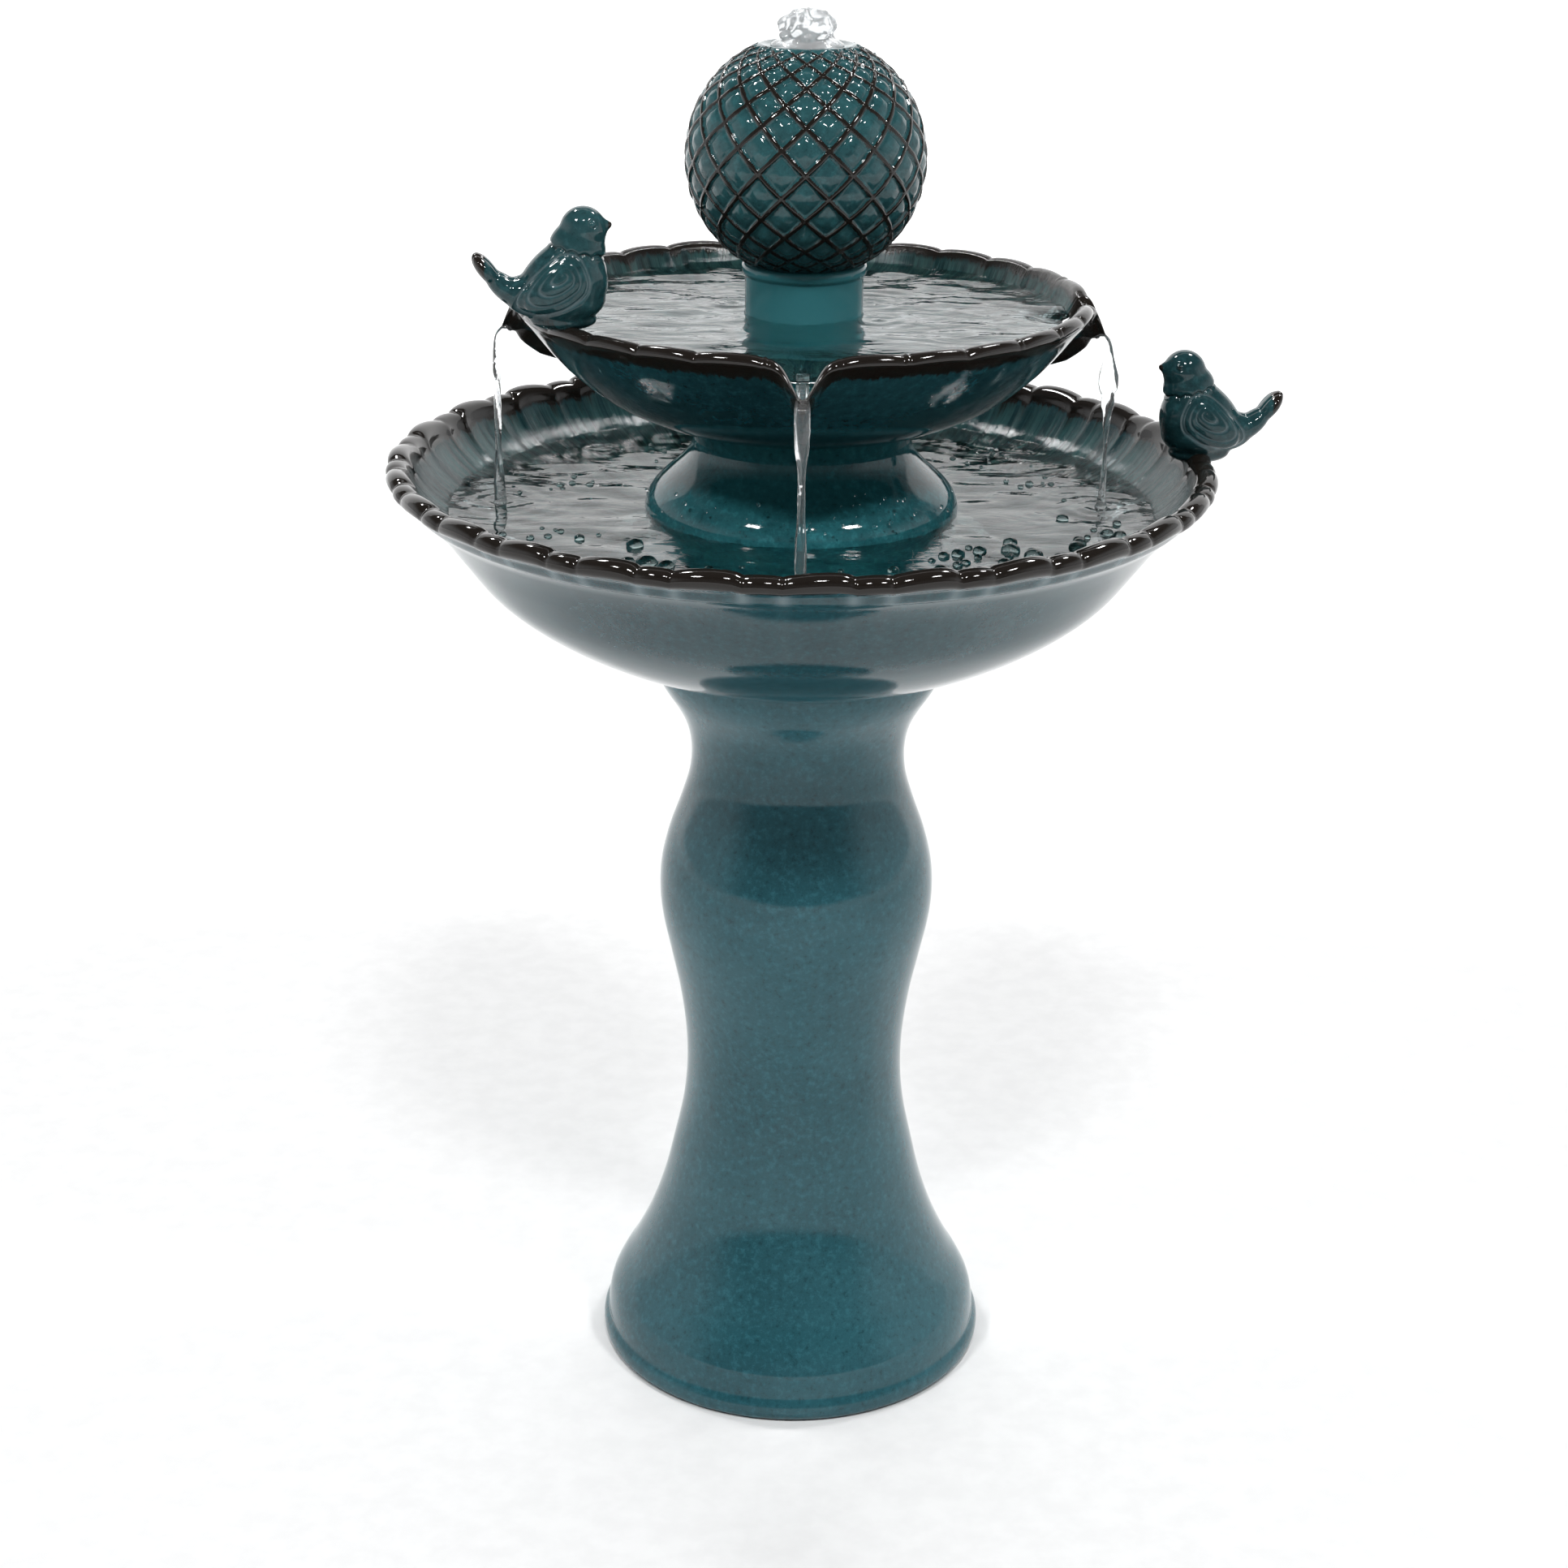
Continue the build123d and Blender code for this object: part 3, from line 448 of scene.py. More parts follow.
def pedestal_outline():
    """Outline of the hollow pedestal, in mm, once round from the foot's inside."""
    bead = [(92, 0), (97.4, 0), (100.0, 0.9), (101.3, 3.0), (101.6, 5.8), (101.2, 8.6), (100.0, 10.6),
            (99.0, 11.9), (98.8, 13.6)]
    side = [(98.8, 13.6), (98.4, 19), (96.4, 27), (91.4, 37), (85.0, 48), (76.6, 66), (69.0, 88), (63.2, 112),
            (58.4, 135), (56.4, 156), (56.9, 178), (60.0, 202), (64.8, 225), (68.8, 244), (70.3, 259),
            (69.4, 274), (65.6, 290), (59.6, 307), (55.4, 321), (54.1, 332), (54.6, 341), (56.4, 349),
            (59.6, 356.5), (63.8, 363.5)]
    mouth = [(63.8, 363.5), (68.0, 370), (71.4, 376.6), (73.2, 382.4), (73.4, 385), (72.8, 386.6),
             (71.4, 387.2)]
    bore = [(66, 387.2), (57.5, 387.2), (57.5, 373.4)]
    inside = [(57.5, 373.4), (50.5, 361), (47.6, 345), (47.1, 332), (48.4, 321), (52.6, 307), (58.6, 290),
              (62.4, 274), (63.3, 259), (61.8, 244), (57.8, 225), (53, 202), (49.9, 178), (49.4, 156),
              (51.4, 135), (56.2, 112), (62, 88), (69.6, 66), (78, 48), (86.6, 30), (91, 18), (92, 8)]
    return [through(bead, 30), through(side, 110)[1:], through(mouth, 22)[1:], np.array(bore, float),
            through(inside, 60)[1:]]


def pedestal(props):
    """The baluster: beaded foot, knop, turned-out mouth, and the cord's arch at the back."""
    outline = np.vstack(pedestal_outline()) * MM
    made = turned("pedestal_glazed", outline, props.steps, True)
    half, crown = props.arch_width / 2, props.arch_height - props.arch_width / 2
    bm = bmesh.new()
    ring = [(-half, -MM), (half, -MM)]
    ring += [(half * math.cos(a), crown + half * math.sin(a)) for a in np.linspace(0, math.pi, 24)]
    face = bm.faces.new([bm.verts.new((x, 0.05, z)) for x, z in ring])
    grown = bmesh.ops.extrude_face_region(bm, geom=[face])
    moved = [item for item in grown["geom"] if isinstance(item, bmesh.types.BMVert)]
    bmesh.ops.translate(bm, verts=moved, vec=(0, 0.06, 0))
    drill(made, bm)
    height = coords(made)[:, 2] / MM
    # Brown on the foot's bottom edge; the brown line along the mouth's top edge is painted shadow where the
    # bowl sits on the pedestal
    set_field(made, "glaze_break_and_painted_shade", 0.6 * smoothstep(2.4, 0.4, height) + 0.36 * smoothstep(384.5, 386.6, height))
    painted(made, glaze("pedestal_glaze_teal", (0.013, 0.070, 0.088), (0.024, 0.102, 0.126), False, 300.0))
    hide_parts("pedestal")
    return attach(made, "pedestal")


def lower_outline():
    """Outline of the large bowl, in mm, from the underside's middle over the rim to the floor."""
    under_ring = [(0, 0), (48.2, 0), (48.7, -11.6), (49.5, -12), (54.6, -12), (55.3, -11.5), (55.5, -0.5),
                  (56.5, 0), (67, 0)]
    belly = [(68, 0), (85, 1.7), (110, 11.6), (135, 25.6), (155, 41.4), (170, 60.4), (177.6, 70.6),
             (184.6, 78.6), (189.6, 83.6)]
    band = [(189.6, 83.6), (192.3, 85.0), (194.2, 87.2), (196.2, 90.0), (197.6, 91.4), (200.4, 92.8),
            (202.6, 95.4), (202.7, 98.6), (200.6, 101.2), (197.2, 102.0), (193.8, 100.9), (191.4, 98.2),
            (190.0, 94.6)]
    wall = [(190.0, 94.6), (184.6, 87.4), (177.6, 80.6), (171.4, 75.6), (163.0, 64.6), (149.0, 47.6),
            (130.4, 32.8), (106.4, 19.4), (94, 13.2), (84, 10.2)]
    parts = [np.array(under_ring, float), through(belly, 26)[1:], through(band, 30)[1:], through(wall, 44)[1:],
             np.array([(60, 10), (36, 10), (14, 10), (0, 10)], float)]
    return parts


def upper_outline():
    """Outline of the small bowl and its column, in mm, once round from the underside."""
    belly = [(11, 0), (52, 0), (55, 0.4), (62, 2.0), (78, 7), (98, 17), (114, 30), (120.6, 36.6), (128, 45),
             (133.6, 52), (137.6, 57)]
    band = [(137.6, 57), (139.2, 59.6), (139.3, 61.6), (137.8, 63.4), (135.4, 64.0), (133.0, 63.1),
            (131.4, 60.8)]
    wall = [(131.4, 60.8), (126.8, 53.4), (119.4, 44.6), (111.6, 36.6), (100.6, 26.8), (86, 17.6), (71, 11.6),
            (54, 9.2), (40, 9.0), (33, 9.8), (29.6, 12.4), (28.5, 17)]
    column = [(28.5, 17), (28.5, 40), (28.5, 71.6), (28.7, 72.6), (29.7, 73.4), (30, 74.4), (30, 76.8),
              (29.6, 77.7), (28.8, 78), (21.8, 78), (21.6, 84), (17, 84), (17, 9.2), (11, 9)]
    parts = [through(belly, 34), through(band, 22)[1:], through(wall, 38)[1:], np.array(column[1:], float)]
    return parts


def shares(parts, *values):
    """One weight for each outline point: a number, or a list to spread along the part."""
    rows = []
    for part, value in zip(parts, values):
        if isinstance(value, (int, float)):
            value = (value, value)
        rows.append(np.interp(np.linspace(0, 1, len(part)), np.linspace(0, 1, len(value)), value))
    return np.concatenate(rows)


def lower_bowl(props):
    """The large bowl: crimped rolled rim, banded outside and scooped, streaked inside."""
    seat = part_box("pedestal")[1].z
    parts = lower_outline()
    outline = np.vstack(parts) * MM
    made = turned("lower_bowl_glazed", outline + (0, seat), props.steps, False)
    rows = coords(made)
    radius, turn = polar(rows)
    along = field(made, "along")
    grid = np.arange(len(outline))
    rim = np.interp(along, grid, shares(parts, 0, 0, (0, 0, 0.7, 1, 1, 1, 1), (1, 0.45, 0.1, 0, 0, 0), 0))
    top = np.interp(along, grid, shares(parts, 0, 0, (0, 0.1, 0.45, 0.8, 1, 1, 1), (1, 0.5, 0.1, 0, 0, 0), 0))
    scoop = np.interp(along, grid, shares(parts, 0, 0, 0, (0.25, 1, 1, 0.8, 0.45, 0.12, 0), 0))
    brown = np.interp(along, grid,
                      shares(parts, 0, 0, (0, 0, 0.1, 0.9, 1, 1, 1, 0.75), (0.45, 0.12, 0.02, 0, 0, 0, 0, 0),
                             0))
    band = np.interp(along, grid, shares(parts, 0, (0, 0, 0, 0.1), (0.6, 1, 1, 0.4, 0, 0, 0, 0), 0, 0))
    uneven = handmade(turn) + 0.895 / props.lobes
    lobe = crimp(uneven, props.lobes, props.wide_share)
    line = crease_line(uneven, props.lobes, props.wide_share, 0.07)
    at = (uneven * props.lobes) % 1.0
    lapped = np.where(at < props.wide_share, 0.62 + 0.5 * at / props.wide_share, 0.5)
    flute = 0.25 * np.sin(TAU * uneven * props.lobes * 7) * scoop
    radius = radius - (1 - lobe) * props.crimp_depth * rim
    radius = radius + (lobe * lapped * props.scoop_depth + flute * 0.9 * MM) * scoop
    height = rows[:, 2] + (lobe * lapped - 1) * props.crimp_rise * top
    set_coords(made, from_polar(radius, turn, height))
    set_field(made, "glaze_break_and_painted_shade", np.clip(brown + 0.28 * line * scoop, 0, 1))
    inside = shares(parts, 0, 0, 0, (0.6, 1, 1, 1), 1)
    set_field(made, "inside", np.interp(along, grid, inside))
    # The creases on the outer band are painted pale by the glaze, as painted highlights between the lobes
    set_field(made, "crease", line * band)
    drill_cord_hole(made)
    painted(made, glaze("bowl_glaze_large", (0.007, 0.038, 0.049), (0.014, 0.059, 0.072), True, 300.0))
    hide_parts("lower_bowl")
    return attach(made, "lower_bowl")


def drill_cord_hole(made):
    """Cuts the cord's hole through the floor, round the grommet."""
    low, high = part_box("cord_grommet")
    bm = bmesh.new()
    place = Matrix.Translation(((low.x + high.x) / 2, (low.y + high.y) / 2, (low.z + high.z) / 2))
    bmesh.ops.create_cone(bm, cap_ends=True, segments=64, radius1=9 * MM, radius2=9 * MM, depth=0.04,
                          matrix=place)
    drill(made, bm)


def upper_bowl(props):
    """The small bowl: plain outside, lobed inside, four pouring lips, and the ball's column."""
    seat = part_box("riser_stand")[1].z
    parts = upper_outline()
    outline = np.vstack(parts) * MM
    made = turned("upper_bowl_glazed", outline + (0, seat), props.steps, True)
    rows = coords(made)
    radius, turn = polar(rows)
    along = field(made, "along")
    grid = np.arange(len(outline))
    rim = np.interp(along, grid, shares(parts, 0, (0.15, 1, 1, 1), (1, 0.4, 0, 0, 0, 0, 0), 0))
    scoop = np.interp(along, grid, shares(parts, 0, 0, (0.3, 1, 1, 0.7, 0.3, 0.05, 0, 0, 0), 0))
    brown = np.interp(along, grid,
                      shares(parts, (0,) * 27 + (0.6, 1), (1, 1, 1, 0.7), (0.4, 0.1, 0, 0, 0, 0, 0, 0), 0))
    pull = np.interp(along, grid,
                     shares(parts, (0, 0, 0, 0, 0, 0, 0, 0, 0.02, 0.24, 0.72), (0.72, 0.9, 1, 1, 1),
                            (1, 0.8, 0.45, 0.16, 0.02, 0, 0, 0, 0, 0), 0))
    uneven = handmade(turn)
    lobe = crimp(uneven + 0.5 / props.lobes, props.lobes, 0.985)
    near = (turn * props.spouts + 0.5) % 1.0 - 0.5
    away = np.abs(near) / props.spouts * TAU * radius.max() / (props.spout_width / 2)
    vee = np.exp(-((away / 0.64) ** 1.55))
    away_from_spout = smoothstep(0.6, 1.6, away)
    radius = radius - (1 - lobe) * 1.4 * MM * rim * away_from_spout
    radius = radius + lobe * props.scoop_depth * scoop * away_from_spout
    radius = radius + vee * pull * props.spout_reach
    height = rows[:, 2] + (lobe - 1) * 1.7 * MM * rim * away_from_spout
    height = height - vee * pull * props.spout_drop
    set_coords(made, from_polar(radius, turn, height))
    line = crease_line(uneven + 0.5 / props.lobes, props.lobes, 0.985, 0.08)
    lip = np.clip(pull * 1.4, 0, 1) * smoothstep(0.05, 0.5, vee)
    set_field(made, "glaze_break_and_painted_shade", np.clip(brown + 0.25 * line * scoop + 0.9 * lip, 0, 1))
    # Marks the column above the foot, which the glaze paints lighter as painted light
    column = np.interp(along, grid, shares(parts, 0, 0, (0,) * 12 + (1,), 1))
    set_field(made, "column", column * (rows[:, 2] > seat + 10 * MM))
    inside = shares(parts, 0, (0, 0, 0.3, 0.8), (1, 1, 1, 1, 0.8, 0.2), 0)
    set_field(made, "inside", np.interp(along, grid, inside))
    painted(made, glaze("bowl_glaze_small", (0.007, 0.034, 0.042), (0.014, 0.060, 0.072), True, 230.0))
    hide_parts("upper_bowl")
    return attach(made, "upper_tier")


# ---------------------------------------------------------------- ball
BALL_SEAT_R = 27.1 * MM
BALL_WALL = 6 * MM


def ball_sphere():
    """Radius of the ball and height of its middle."""
    low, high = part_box("ball_finial")
    big = (high.x - low.x) / 2
    return big, low.z + math.sqrt(big**2 - BALL_SEAT_R**2)


def ball(props):
    """Ball with crossing spiral ribs and a pillow in each diamond, open at the crown."""
    low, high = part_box("ball_finial")
    big, middle = ball_sphere()
    first = math.asin((low.z - middle) / big)
    last = math.asin((high.z - middle) / big)
    arc = [(big * math.cos(a), middle + big * math.sin(a)) for a in np.linspace(first, last, props.rows)]
    crown = arc[-1][0]
    flat = [(crown - 1.2 * MM, high.z + 0.1 * MM), (crown - 3.2 * MM, high.z - 0.5 * MM),
            (17 * MM, high.z - 0.9 * MM), (14 * MM, high.z - 1.2 * MM), (13 * MM, high.z - 2.2 * MM),
            (13 * MM, high.z - 6 * MM)]
    under = [(22.6 * MM, low.z + 6.5 * MM), (22.6 * MM, low.z)]
    inner = big - BALL_WALL
    cavity = [(inner * math.cos(a), middle + inner * math.sin(a)) for a in np.linspace(0.98, -0.98, 20)]
    outline = np.vstack([arc, flat, cavity, under])
    made = turned("ball_ribbed", outline, props.steps, True)
    rows = coords(made)
    radius, turn = polar(rows)
    along = field(made, "along")
    rise = (rows[:, 2] - middle) / big
    skin = (along < props.rows - 0.5).astype(float)
    latitude = np.arcsin(np.clip(rise, -0.999, 0.999))
    climb = np.arcsinh(np.tan(latitude)) / TAU
    cosine = np.cos(latitude)
    pitch = TAU * big * cosine / props.ribs * math.sqrt(0.5)
    right = np.abs(((turn + climb) * props.ribs + 0.5) % 1.0 - 0.5) * pitch
    left = np.abs(((turn - climb) * props.ribs + 0.5) % 1.0 - 0.5) * pitch
    nearest = np.minimum(right, left)
    slim = 0.55 + 0.45 * smoothstep(0.35, 0.8, cosine)
    half = props.rib_width / 2 * slim
    rib = 1 - smoothstep(0.45, 1.0, nearest / half)
    groove = np.exp(-(((nearest - 1.35 * half) / (0.45 * half)) ** 2))
    pillow = np.clip(right / (pitch / 2), 0, 1) * np.clip(left / (pitch / 2), 0, 1)
    bulge = np.sqrt(pillow) * props.pillow * slim
    top, bottom = math.sin(last), math.sin(first)
    fade = smoothstep(top + 0.001, top - 0.03, rise) * smoothstep(bottom - 0.001, bottom + 0.03, rise)
    lift = (-1.5 * MM + rib * 1.5 * MM + bulge - groove * 0.3 * MM) * fade * skin
    radius = radius + lift * cosine
    height = rows[:, 2] + lift * np.sin(latitude)
    set_coords(made, from_polar(radius, turn, height))
    crown_break = smoothstep(0.9, 0.93, rise) * 0.4
    set_field(made, "glaze_break_and_painted_shade", np.clip((rib * 0.95 + groove * 0.35) * fade * skin + crown_break, 0, 1))
    painted(made, glaze("ball_glaze_teal", (0.010, 0.044, 0.051), (0.022, 0.080, 0.088), False, 240.0))
    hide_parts("ball_finial")
    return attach(made, "ball")


# ---------------------------------------------------------------- birds
BIRD_LUMPS = (
    # centre (x, y, z), half sizes, nose-up tilt in degrees
    ((7.5, 0, 42.6), (10.8, 10.2, 10.8), 0),
    ((4.6, 0, 34.0), (13.2, 11.6, 13.0), 30),
    ((3.2, 0, 20.5), (15.4, 14.6, 18.0), 8),
    ((-1.0, 0, 11.6), (18.5, 14.4, 11.6), 0),
    ((-6.8, 0, 23.4), (21.0, 11.5, 10.4), 45),
    ((-15.0, 0, 12.2), (15.0, 11.0, 9.8), -12),
    ((-27.0, 0, 15.2), (12.5, 8.0, 5.6), -40),
    ((-36.4, 0, 24.4), (9.6, 8.6, 4.0), -52),
    ((-4.5, 10.6, 18.0), (17.0, 4.6, 9.6), 34),
    ((-4.5, -10.6, 18.0), (17.0, 4.6, 9.6), 34),
    ((-2.0, 0, 1.6), (15.5, 10.0, 5.0), 0),
)


def bird_body(name):
    """Squatting bird at the origin, facing +X, joined from rounded lumps into one skin."""
    bm = bmesh.new()
    for centre, half, tilt in BIRD_LUMPS:
        place = Matrix.Translation(Vector(centre) * MM) @ Matrix.Rotation(math.radians(-tilt), 4, "Y")
        place = place @ Matrix.Diagonal((*(part * MM for part in half), 1))
        bmesh.ops.create_icosphere(bm, subdivisions=4, radius=1.0, matrix=place)
    beak = Matrix.Translation(Vector((18.4, 0, 44.6)) * MM) @ Matrix.Rotation(math.radians(84), 4, "Y")
    bmesh.ops.create_cone(bm, cap_ends=True, segments=24, radius1=4.2 * MM, radius2=0.9 * MM, depth=5 * MM,
                          matrix=beak)
    made = finished(name, bm)
    skin = made.modifiers.new("skin", "REMESH")
    skin.mode = "VOXEL"
    skin.voxel_size = 0.85 * MM
    soften = made.modifiers.new("soften", "SMOOTH")
    soften.factor = 0.6
    soften.iterations = 9
    finer = made.modifiers.new("finer", "SUBSURF")
    finer.levels = 1
    finer.render_levels = 1
    return applied(made)


def carve_bird(made):
    """Collar, wing feathers, eye and tail lines, and where the glaze breaks brown."""
    rows = coords(made)
    x, y, z = rows.T / MM
    side = smoothstep(3.0, 7.0, np.abs(y))
    collar_z = np.interp(x, (-8, -4, 6, 14, 20), (36.5, 35.4, 32.8, 31.2, 30.6))
    collar_z = collar_z + 1.3 * np.abs(np.sin(x * 0.56)) - 0.6
    collar = np.exp(-(((z - collar_z) / 0.75) ** 2)) * (x > -9)
    back = -0.79 * (x + 1.5) - 0.61 * (z - 24.5)
    across = 0.61 * (x + 1.5) - 0.79 * (z - 24.5)
    reach = np.hypot(np.where(back > 0, 0.6 * back, 1.6 * back),
                     np.where(across > 0, 1.15 * across, 2.1 * across))
    swirl = np.arctan2(across, back) / TAU
    wing = side * smoothstep(16.8, 15.6, reach)
    feathers = np.abs(((reach / 4.0 + swirl) + 0.5) % 1.0 - 0.5)
    fan = smoothstep(-0.5, 0.5, (0.4 * back + across) / (np.hypot(back, across) + 1.0))
    barbs = np.exp(-((feathers / 0.12) ** 2)) * wing * (0.15 + 0.85 * fan)
    edge = np.exp(-(((reach - 16.2) / 0.7) ** 2)) * side
    tail_lines = np.exp(-((np.abs(np.abs(y) - 3.0) / 0.6) ** 2)) * smoothstep(-20, -24, x) * (z > 20)
    eye = np.hypot(x - 12.0, z - 46.4)
    ring = np.exp(-(((eye - 1.7) / 0.45) ** 2)) * side
    pupil = smoothstep(1.5, 0.9, eye) * side
    sink = 0.95 * collar + 0.6 * barbs + 0.7 * edge + 0.5 * tail_lines + 0.35 * ring - 0.35 * pupil
    normals = np.empty(len(rows) * 3)
    made.data.vertex_normals.foreach_get("vector", normals)
    set_coords(made, rows - normals.reshape(-1, 3) * (sink * MM)[:, None])
    beak = smoothstep(18.2, 19.6, x) * smoothstep(40.5, 42.5, z)
    tail_tip = smoothstep(-33.0, -39.0, x)
    belly = smoothstep(8.0, 1.0, z)
    bare = beak + tail_tip * 0.8 + 0.5 * collar + 0.34 * barbs + 0.5 * pupil + 0.45 * belly
    set_field(made, "glaze_break_and_painted_shade", np.clip(bare, 0, 1))
    set_field(made, "crease", np.clip(0.5 * (barbs + edge), 0, 1))


def bird(name, node, body, az, rim, heading, raised, props):
    """One bird squatting on a rim."""
    made = bird_body(name)
    carve_bird(made)
    seat = (props.rim_radius_low if rim == "lower_bowl" else props.rim_radius_top) - props.inset
    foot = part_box(node)[1].z - props.tall + raised
    turn = math.radians(az)
    place = Matrix.Translation((seat * math.cos(turn), seat * math.sin(turn), foot))
    made.data.transform(place @ Matrix.Rotation(math.radians(heading), 4, "Z"))
    painted(made, glaze(f"{name}_glaze", (0.008, 0.032, 0.037), (0.018, 0.058, 0.064), False, 260.0))
    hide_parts(node)
    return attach(made, body)


# ---------------------------------------------------------------- water
STREAM_TURNS = (0.0, 0.25, 0.5, 0.75)


def ripples(rows, places, height, reach):
    """Rings that spread from where the streams land."""
    total = np.zeros(len(rows))
    for x, y in places:
        away = np.hypot(rows[:, 0] - x, rows[:, 1] - y)
        total += height * np.cos(TAU * away / (9 * MM)) * np.exp(-away / reach)
    return total


def pool(name, outline, steps, level, places, swell):
    """A closed body of water whose top is rippled."""
    made = turned(name, outline, steps, False)
    rows = coords(made)
    on_top = (rows[:, 2] > level - 0.1 * MM).astype(float)
    waves = ripples(rows, places, 0.5 * MM, 18 * MM)
    drift = np.array([noise.noise(Vector((x * 42, y * 66, 3.1))) for x, y, z in rows]) * swell
    rows[:, 2] += on_top * (waves + drift)
    set_coords(made, rows)
    return made


LOW_POOL_R = 174.6 * MM
TOP_POOL_R = 129.0 * MM
COLUMN_R = 28 * MM


def pools(props):
    """The water in both bowls."""
    low_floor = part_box("riser_stand")[0].z
    low_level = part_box("lower_bowl")[1].z - props.low_drop
    reach = props.stream_reach
    landings = [(reach * math.cos(TAU * t), reach * math.sin(TAU * t)) for t in STREAM_TURNS]
    rises = [(0, -0.4), (84, -0.4), (107, 8.6), (131, 21.8), (150, 37), (165, 54.5)]
    bed = [(out * MM, low_floor + up * MM) for out, up in rises] + [(LOW_POOL_R, low_level)]
    top = [(r, low_level) for r in np.linspace(LOW_POOL_R, 0, 90)]
    outline = np.vstack([through(bed[1:], 24), top[1:]])
    made = pool("lower_water", np.vstack([bed[:1], outline]), 360, low_level, landings, 0.75 * MM)
    painted(made, water("pool_water", (0.72, 0.90, 0.90), 0.5))
    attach(made, "lower_bowl")
    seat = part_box("riser_stand")[1].z
    level = seat + props.top_rise
    rises = [(28, 9.4), (40, 8.8), (54, 9.0), (71, 11.3), (86, 17.2), (101, 26.2), (112.4, 36), (120.4, 44)]
    bed = [(out * MM, seat + up * MM) for out, up in rises] + [(TOP_POOL_R, level)]
    top = [(r, level) for r in np.linspace(TOP_POOL_R, COLUMN_R, 60)]
    outline = np.vstack([through(bed, 24), top[1:]])
    drop = [(40 * MM * math.cos(TAU * t), 40 * MM * math.sin(TAU * t)) for t in (0.1, 0.42, 0.7, 0.93)]
    made = turned("upper_water", outline, 300, True)
    rows = coords(made)
    on_top = rows[:, 2] > level - 0.1 * MM
    drift = np.array([noise.noise(Vector((x * 44, y * 70, 7.7))) for x, y, z in rows]) * 1.0 * MM
    radius, turn = polar(rows)
    near = ((turn * 4 + 0.5) % 1.0 - 0.5) / 4 * TAU * radius
    sag = 5 * MM * np.exp(-((near / (11 * MM)) ** 2)) * smoothstep(102 * MM, 126 * MM, radius)
    rows[:, 2] += on_top * (ripples(rows, drop, 0.4 * MM, 14 * MM) + drift - sag)
    set_coords(made, rows)
    painted(made, water("upper_pool_water", (0.72, 0.90, 0.91), 0.9))
    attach(made, "upper_tier")


def stream(index, turn, drift, props, material):
    """A thin twisting stream from a pouring lip down to the lower pool."""
    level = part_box("lower_bowl")[1].z - props.low_drop
    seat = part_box("riser_stand")[1].z
    away = Vector((math.cos(TAU * turn), math.sin(TAU * turn), 0))
    across = Vector((-away.y, away.x, 0))
    reach = props.stream_reach
    leaving = [(-34, 48.6, 0.7, 2.6), (-22, 47.6, 0.7, 2.4), (-10, 45.8, 0.7, 2.3), (-2.5, 42.5, 0.75, 2.7),
               (0, 35, 0.8, 2.5), (0.5, 20, 0.8, 2.4), (0.6, 0, 0.7, 2.0)]
    landing = [(0.4, 14, 0.75, 1.9), (0, 3, 1.0, 2.3), (0, -3, 1.6, 3.0)]
    points = [(reach + out * MM, seat + up * MM, side, wide) for out, up, side, wide in leaving]
    points += [(reach + out * MM, level + up * MM, side, wide) for out, up, side, wide in landing]
    line = through([(r, h, s, w) for r, h, s, w in points], 70)
    bm = bmesh.new()
    rings = []
    fall = seat + 45 * MM - level
    for step, (r, h, s, w) in enumerate(line):
        slip = drift * (max(0.0, seat + 45 * MM - h) / fall) ** 1.3
        centre = away * r + across * slip + Vector((0, 0, h))
        nearby = line[min(step + 1, len(line) - 1)] - line[max(step - 1, 0)]
        forward = (away * nearby[0] + Vector((0, 0, nearby[1]))).normalized()
        outward = across.cross(forward).normalized()
        sway = noise.noise(Vector((h * 60, index * 3.7, 0.5)))
        twist = 2.4 * noise.noise(Vector((h * 22, index * 5.1, 2.0))) if h < seat + 40 * MM else 0.0
        wide = 1.35 * w * MM * (1 + 0.4 * sway)
        deep = 1.05 * w * s * MM * (1 - 0.2 * sway)
        ring = []
        for corner in range(20):
            spot = TAU * corner / 20
            flat_x = wide * math.cos(spot) * (1 + 0.16 * math.cos(2 * spot + 9 * sway))
            flat_y = deep * math.sin(spot)
            u = flat_x * math.cos(twist) - flat_y * math.sin(twist)
            v = flat_x * math.sin(twist) + flat_y * math.cos(twist)
            ring.append(bm.verts.new(centre + across * u + outward * v))
        rings.append([bm.edges.new((a, b)) for a, b in zip(ring, ring[1:] + ring[:1])])
    for first, second in zip(rings, rings[1:]):
        bmesh.ops.bridge_loops(bm, edges=first + second)
    bmesh.ops.holes_fill(bm, edges=[edge for edge in bm.edges if edge.is_boundary], sides=0)
    made = finished(f"stream_{index + 1}", bm)
    painted(made, material)
    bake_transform(made)
    return made


def jet():
    """The bubbling lump of water on the ball's crown."""
    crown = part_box("ball_finial")[1].z
    shape = [(0, -3.5), (9, -3.5), (16.5, -1.6), (17.2, -0.2), (15.6, 1.0), (13.4, 2.6), (13.0, 5.6),
             (12.4, 9.0), (10.0, 12.4), (6.4, 14.6), (3.0, 15.8), (0, 16.0)]
    outline = through(shape, 60) * MM + (0, crown)
    outline[0][0] = outline[-1][0] = 0
    made = turned("jet_water", outline, 96, False)
    rows = coords(made)
    up = np.clip((rows[:, 2] - crown) / (16 * MM), 0, 1)
    lumps = np.array([noise.noise(Vector((x * 150, y * 150, z * 120))) for x, y, z in rows])
    small = np.array([noise.noise(Vector((x * 420, y * 420, z * 380))) for x, y, z in rows])
    push = (1 + (0.34 * lumps + 0.10 * small) * smoothstep(0.02, 0.3, up))
    rows[:, 0] *= push
    rows[:, 1] *= push
    rows[:, 2] += (lumps * 2.6 + small * 0.8) * MM * smoothstep(0.2, 1.0, up)
    set_coords(made, rows)
    painted(made, water("jet_clear_water", (0.96, 0.98, 0.99), 0.6, 0.3))
    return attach(made, "ball")


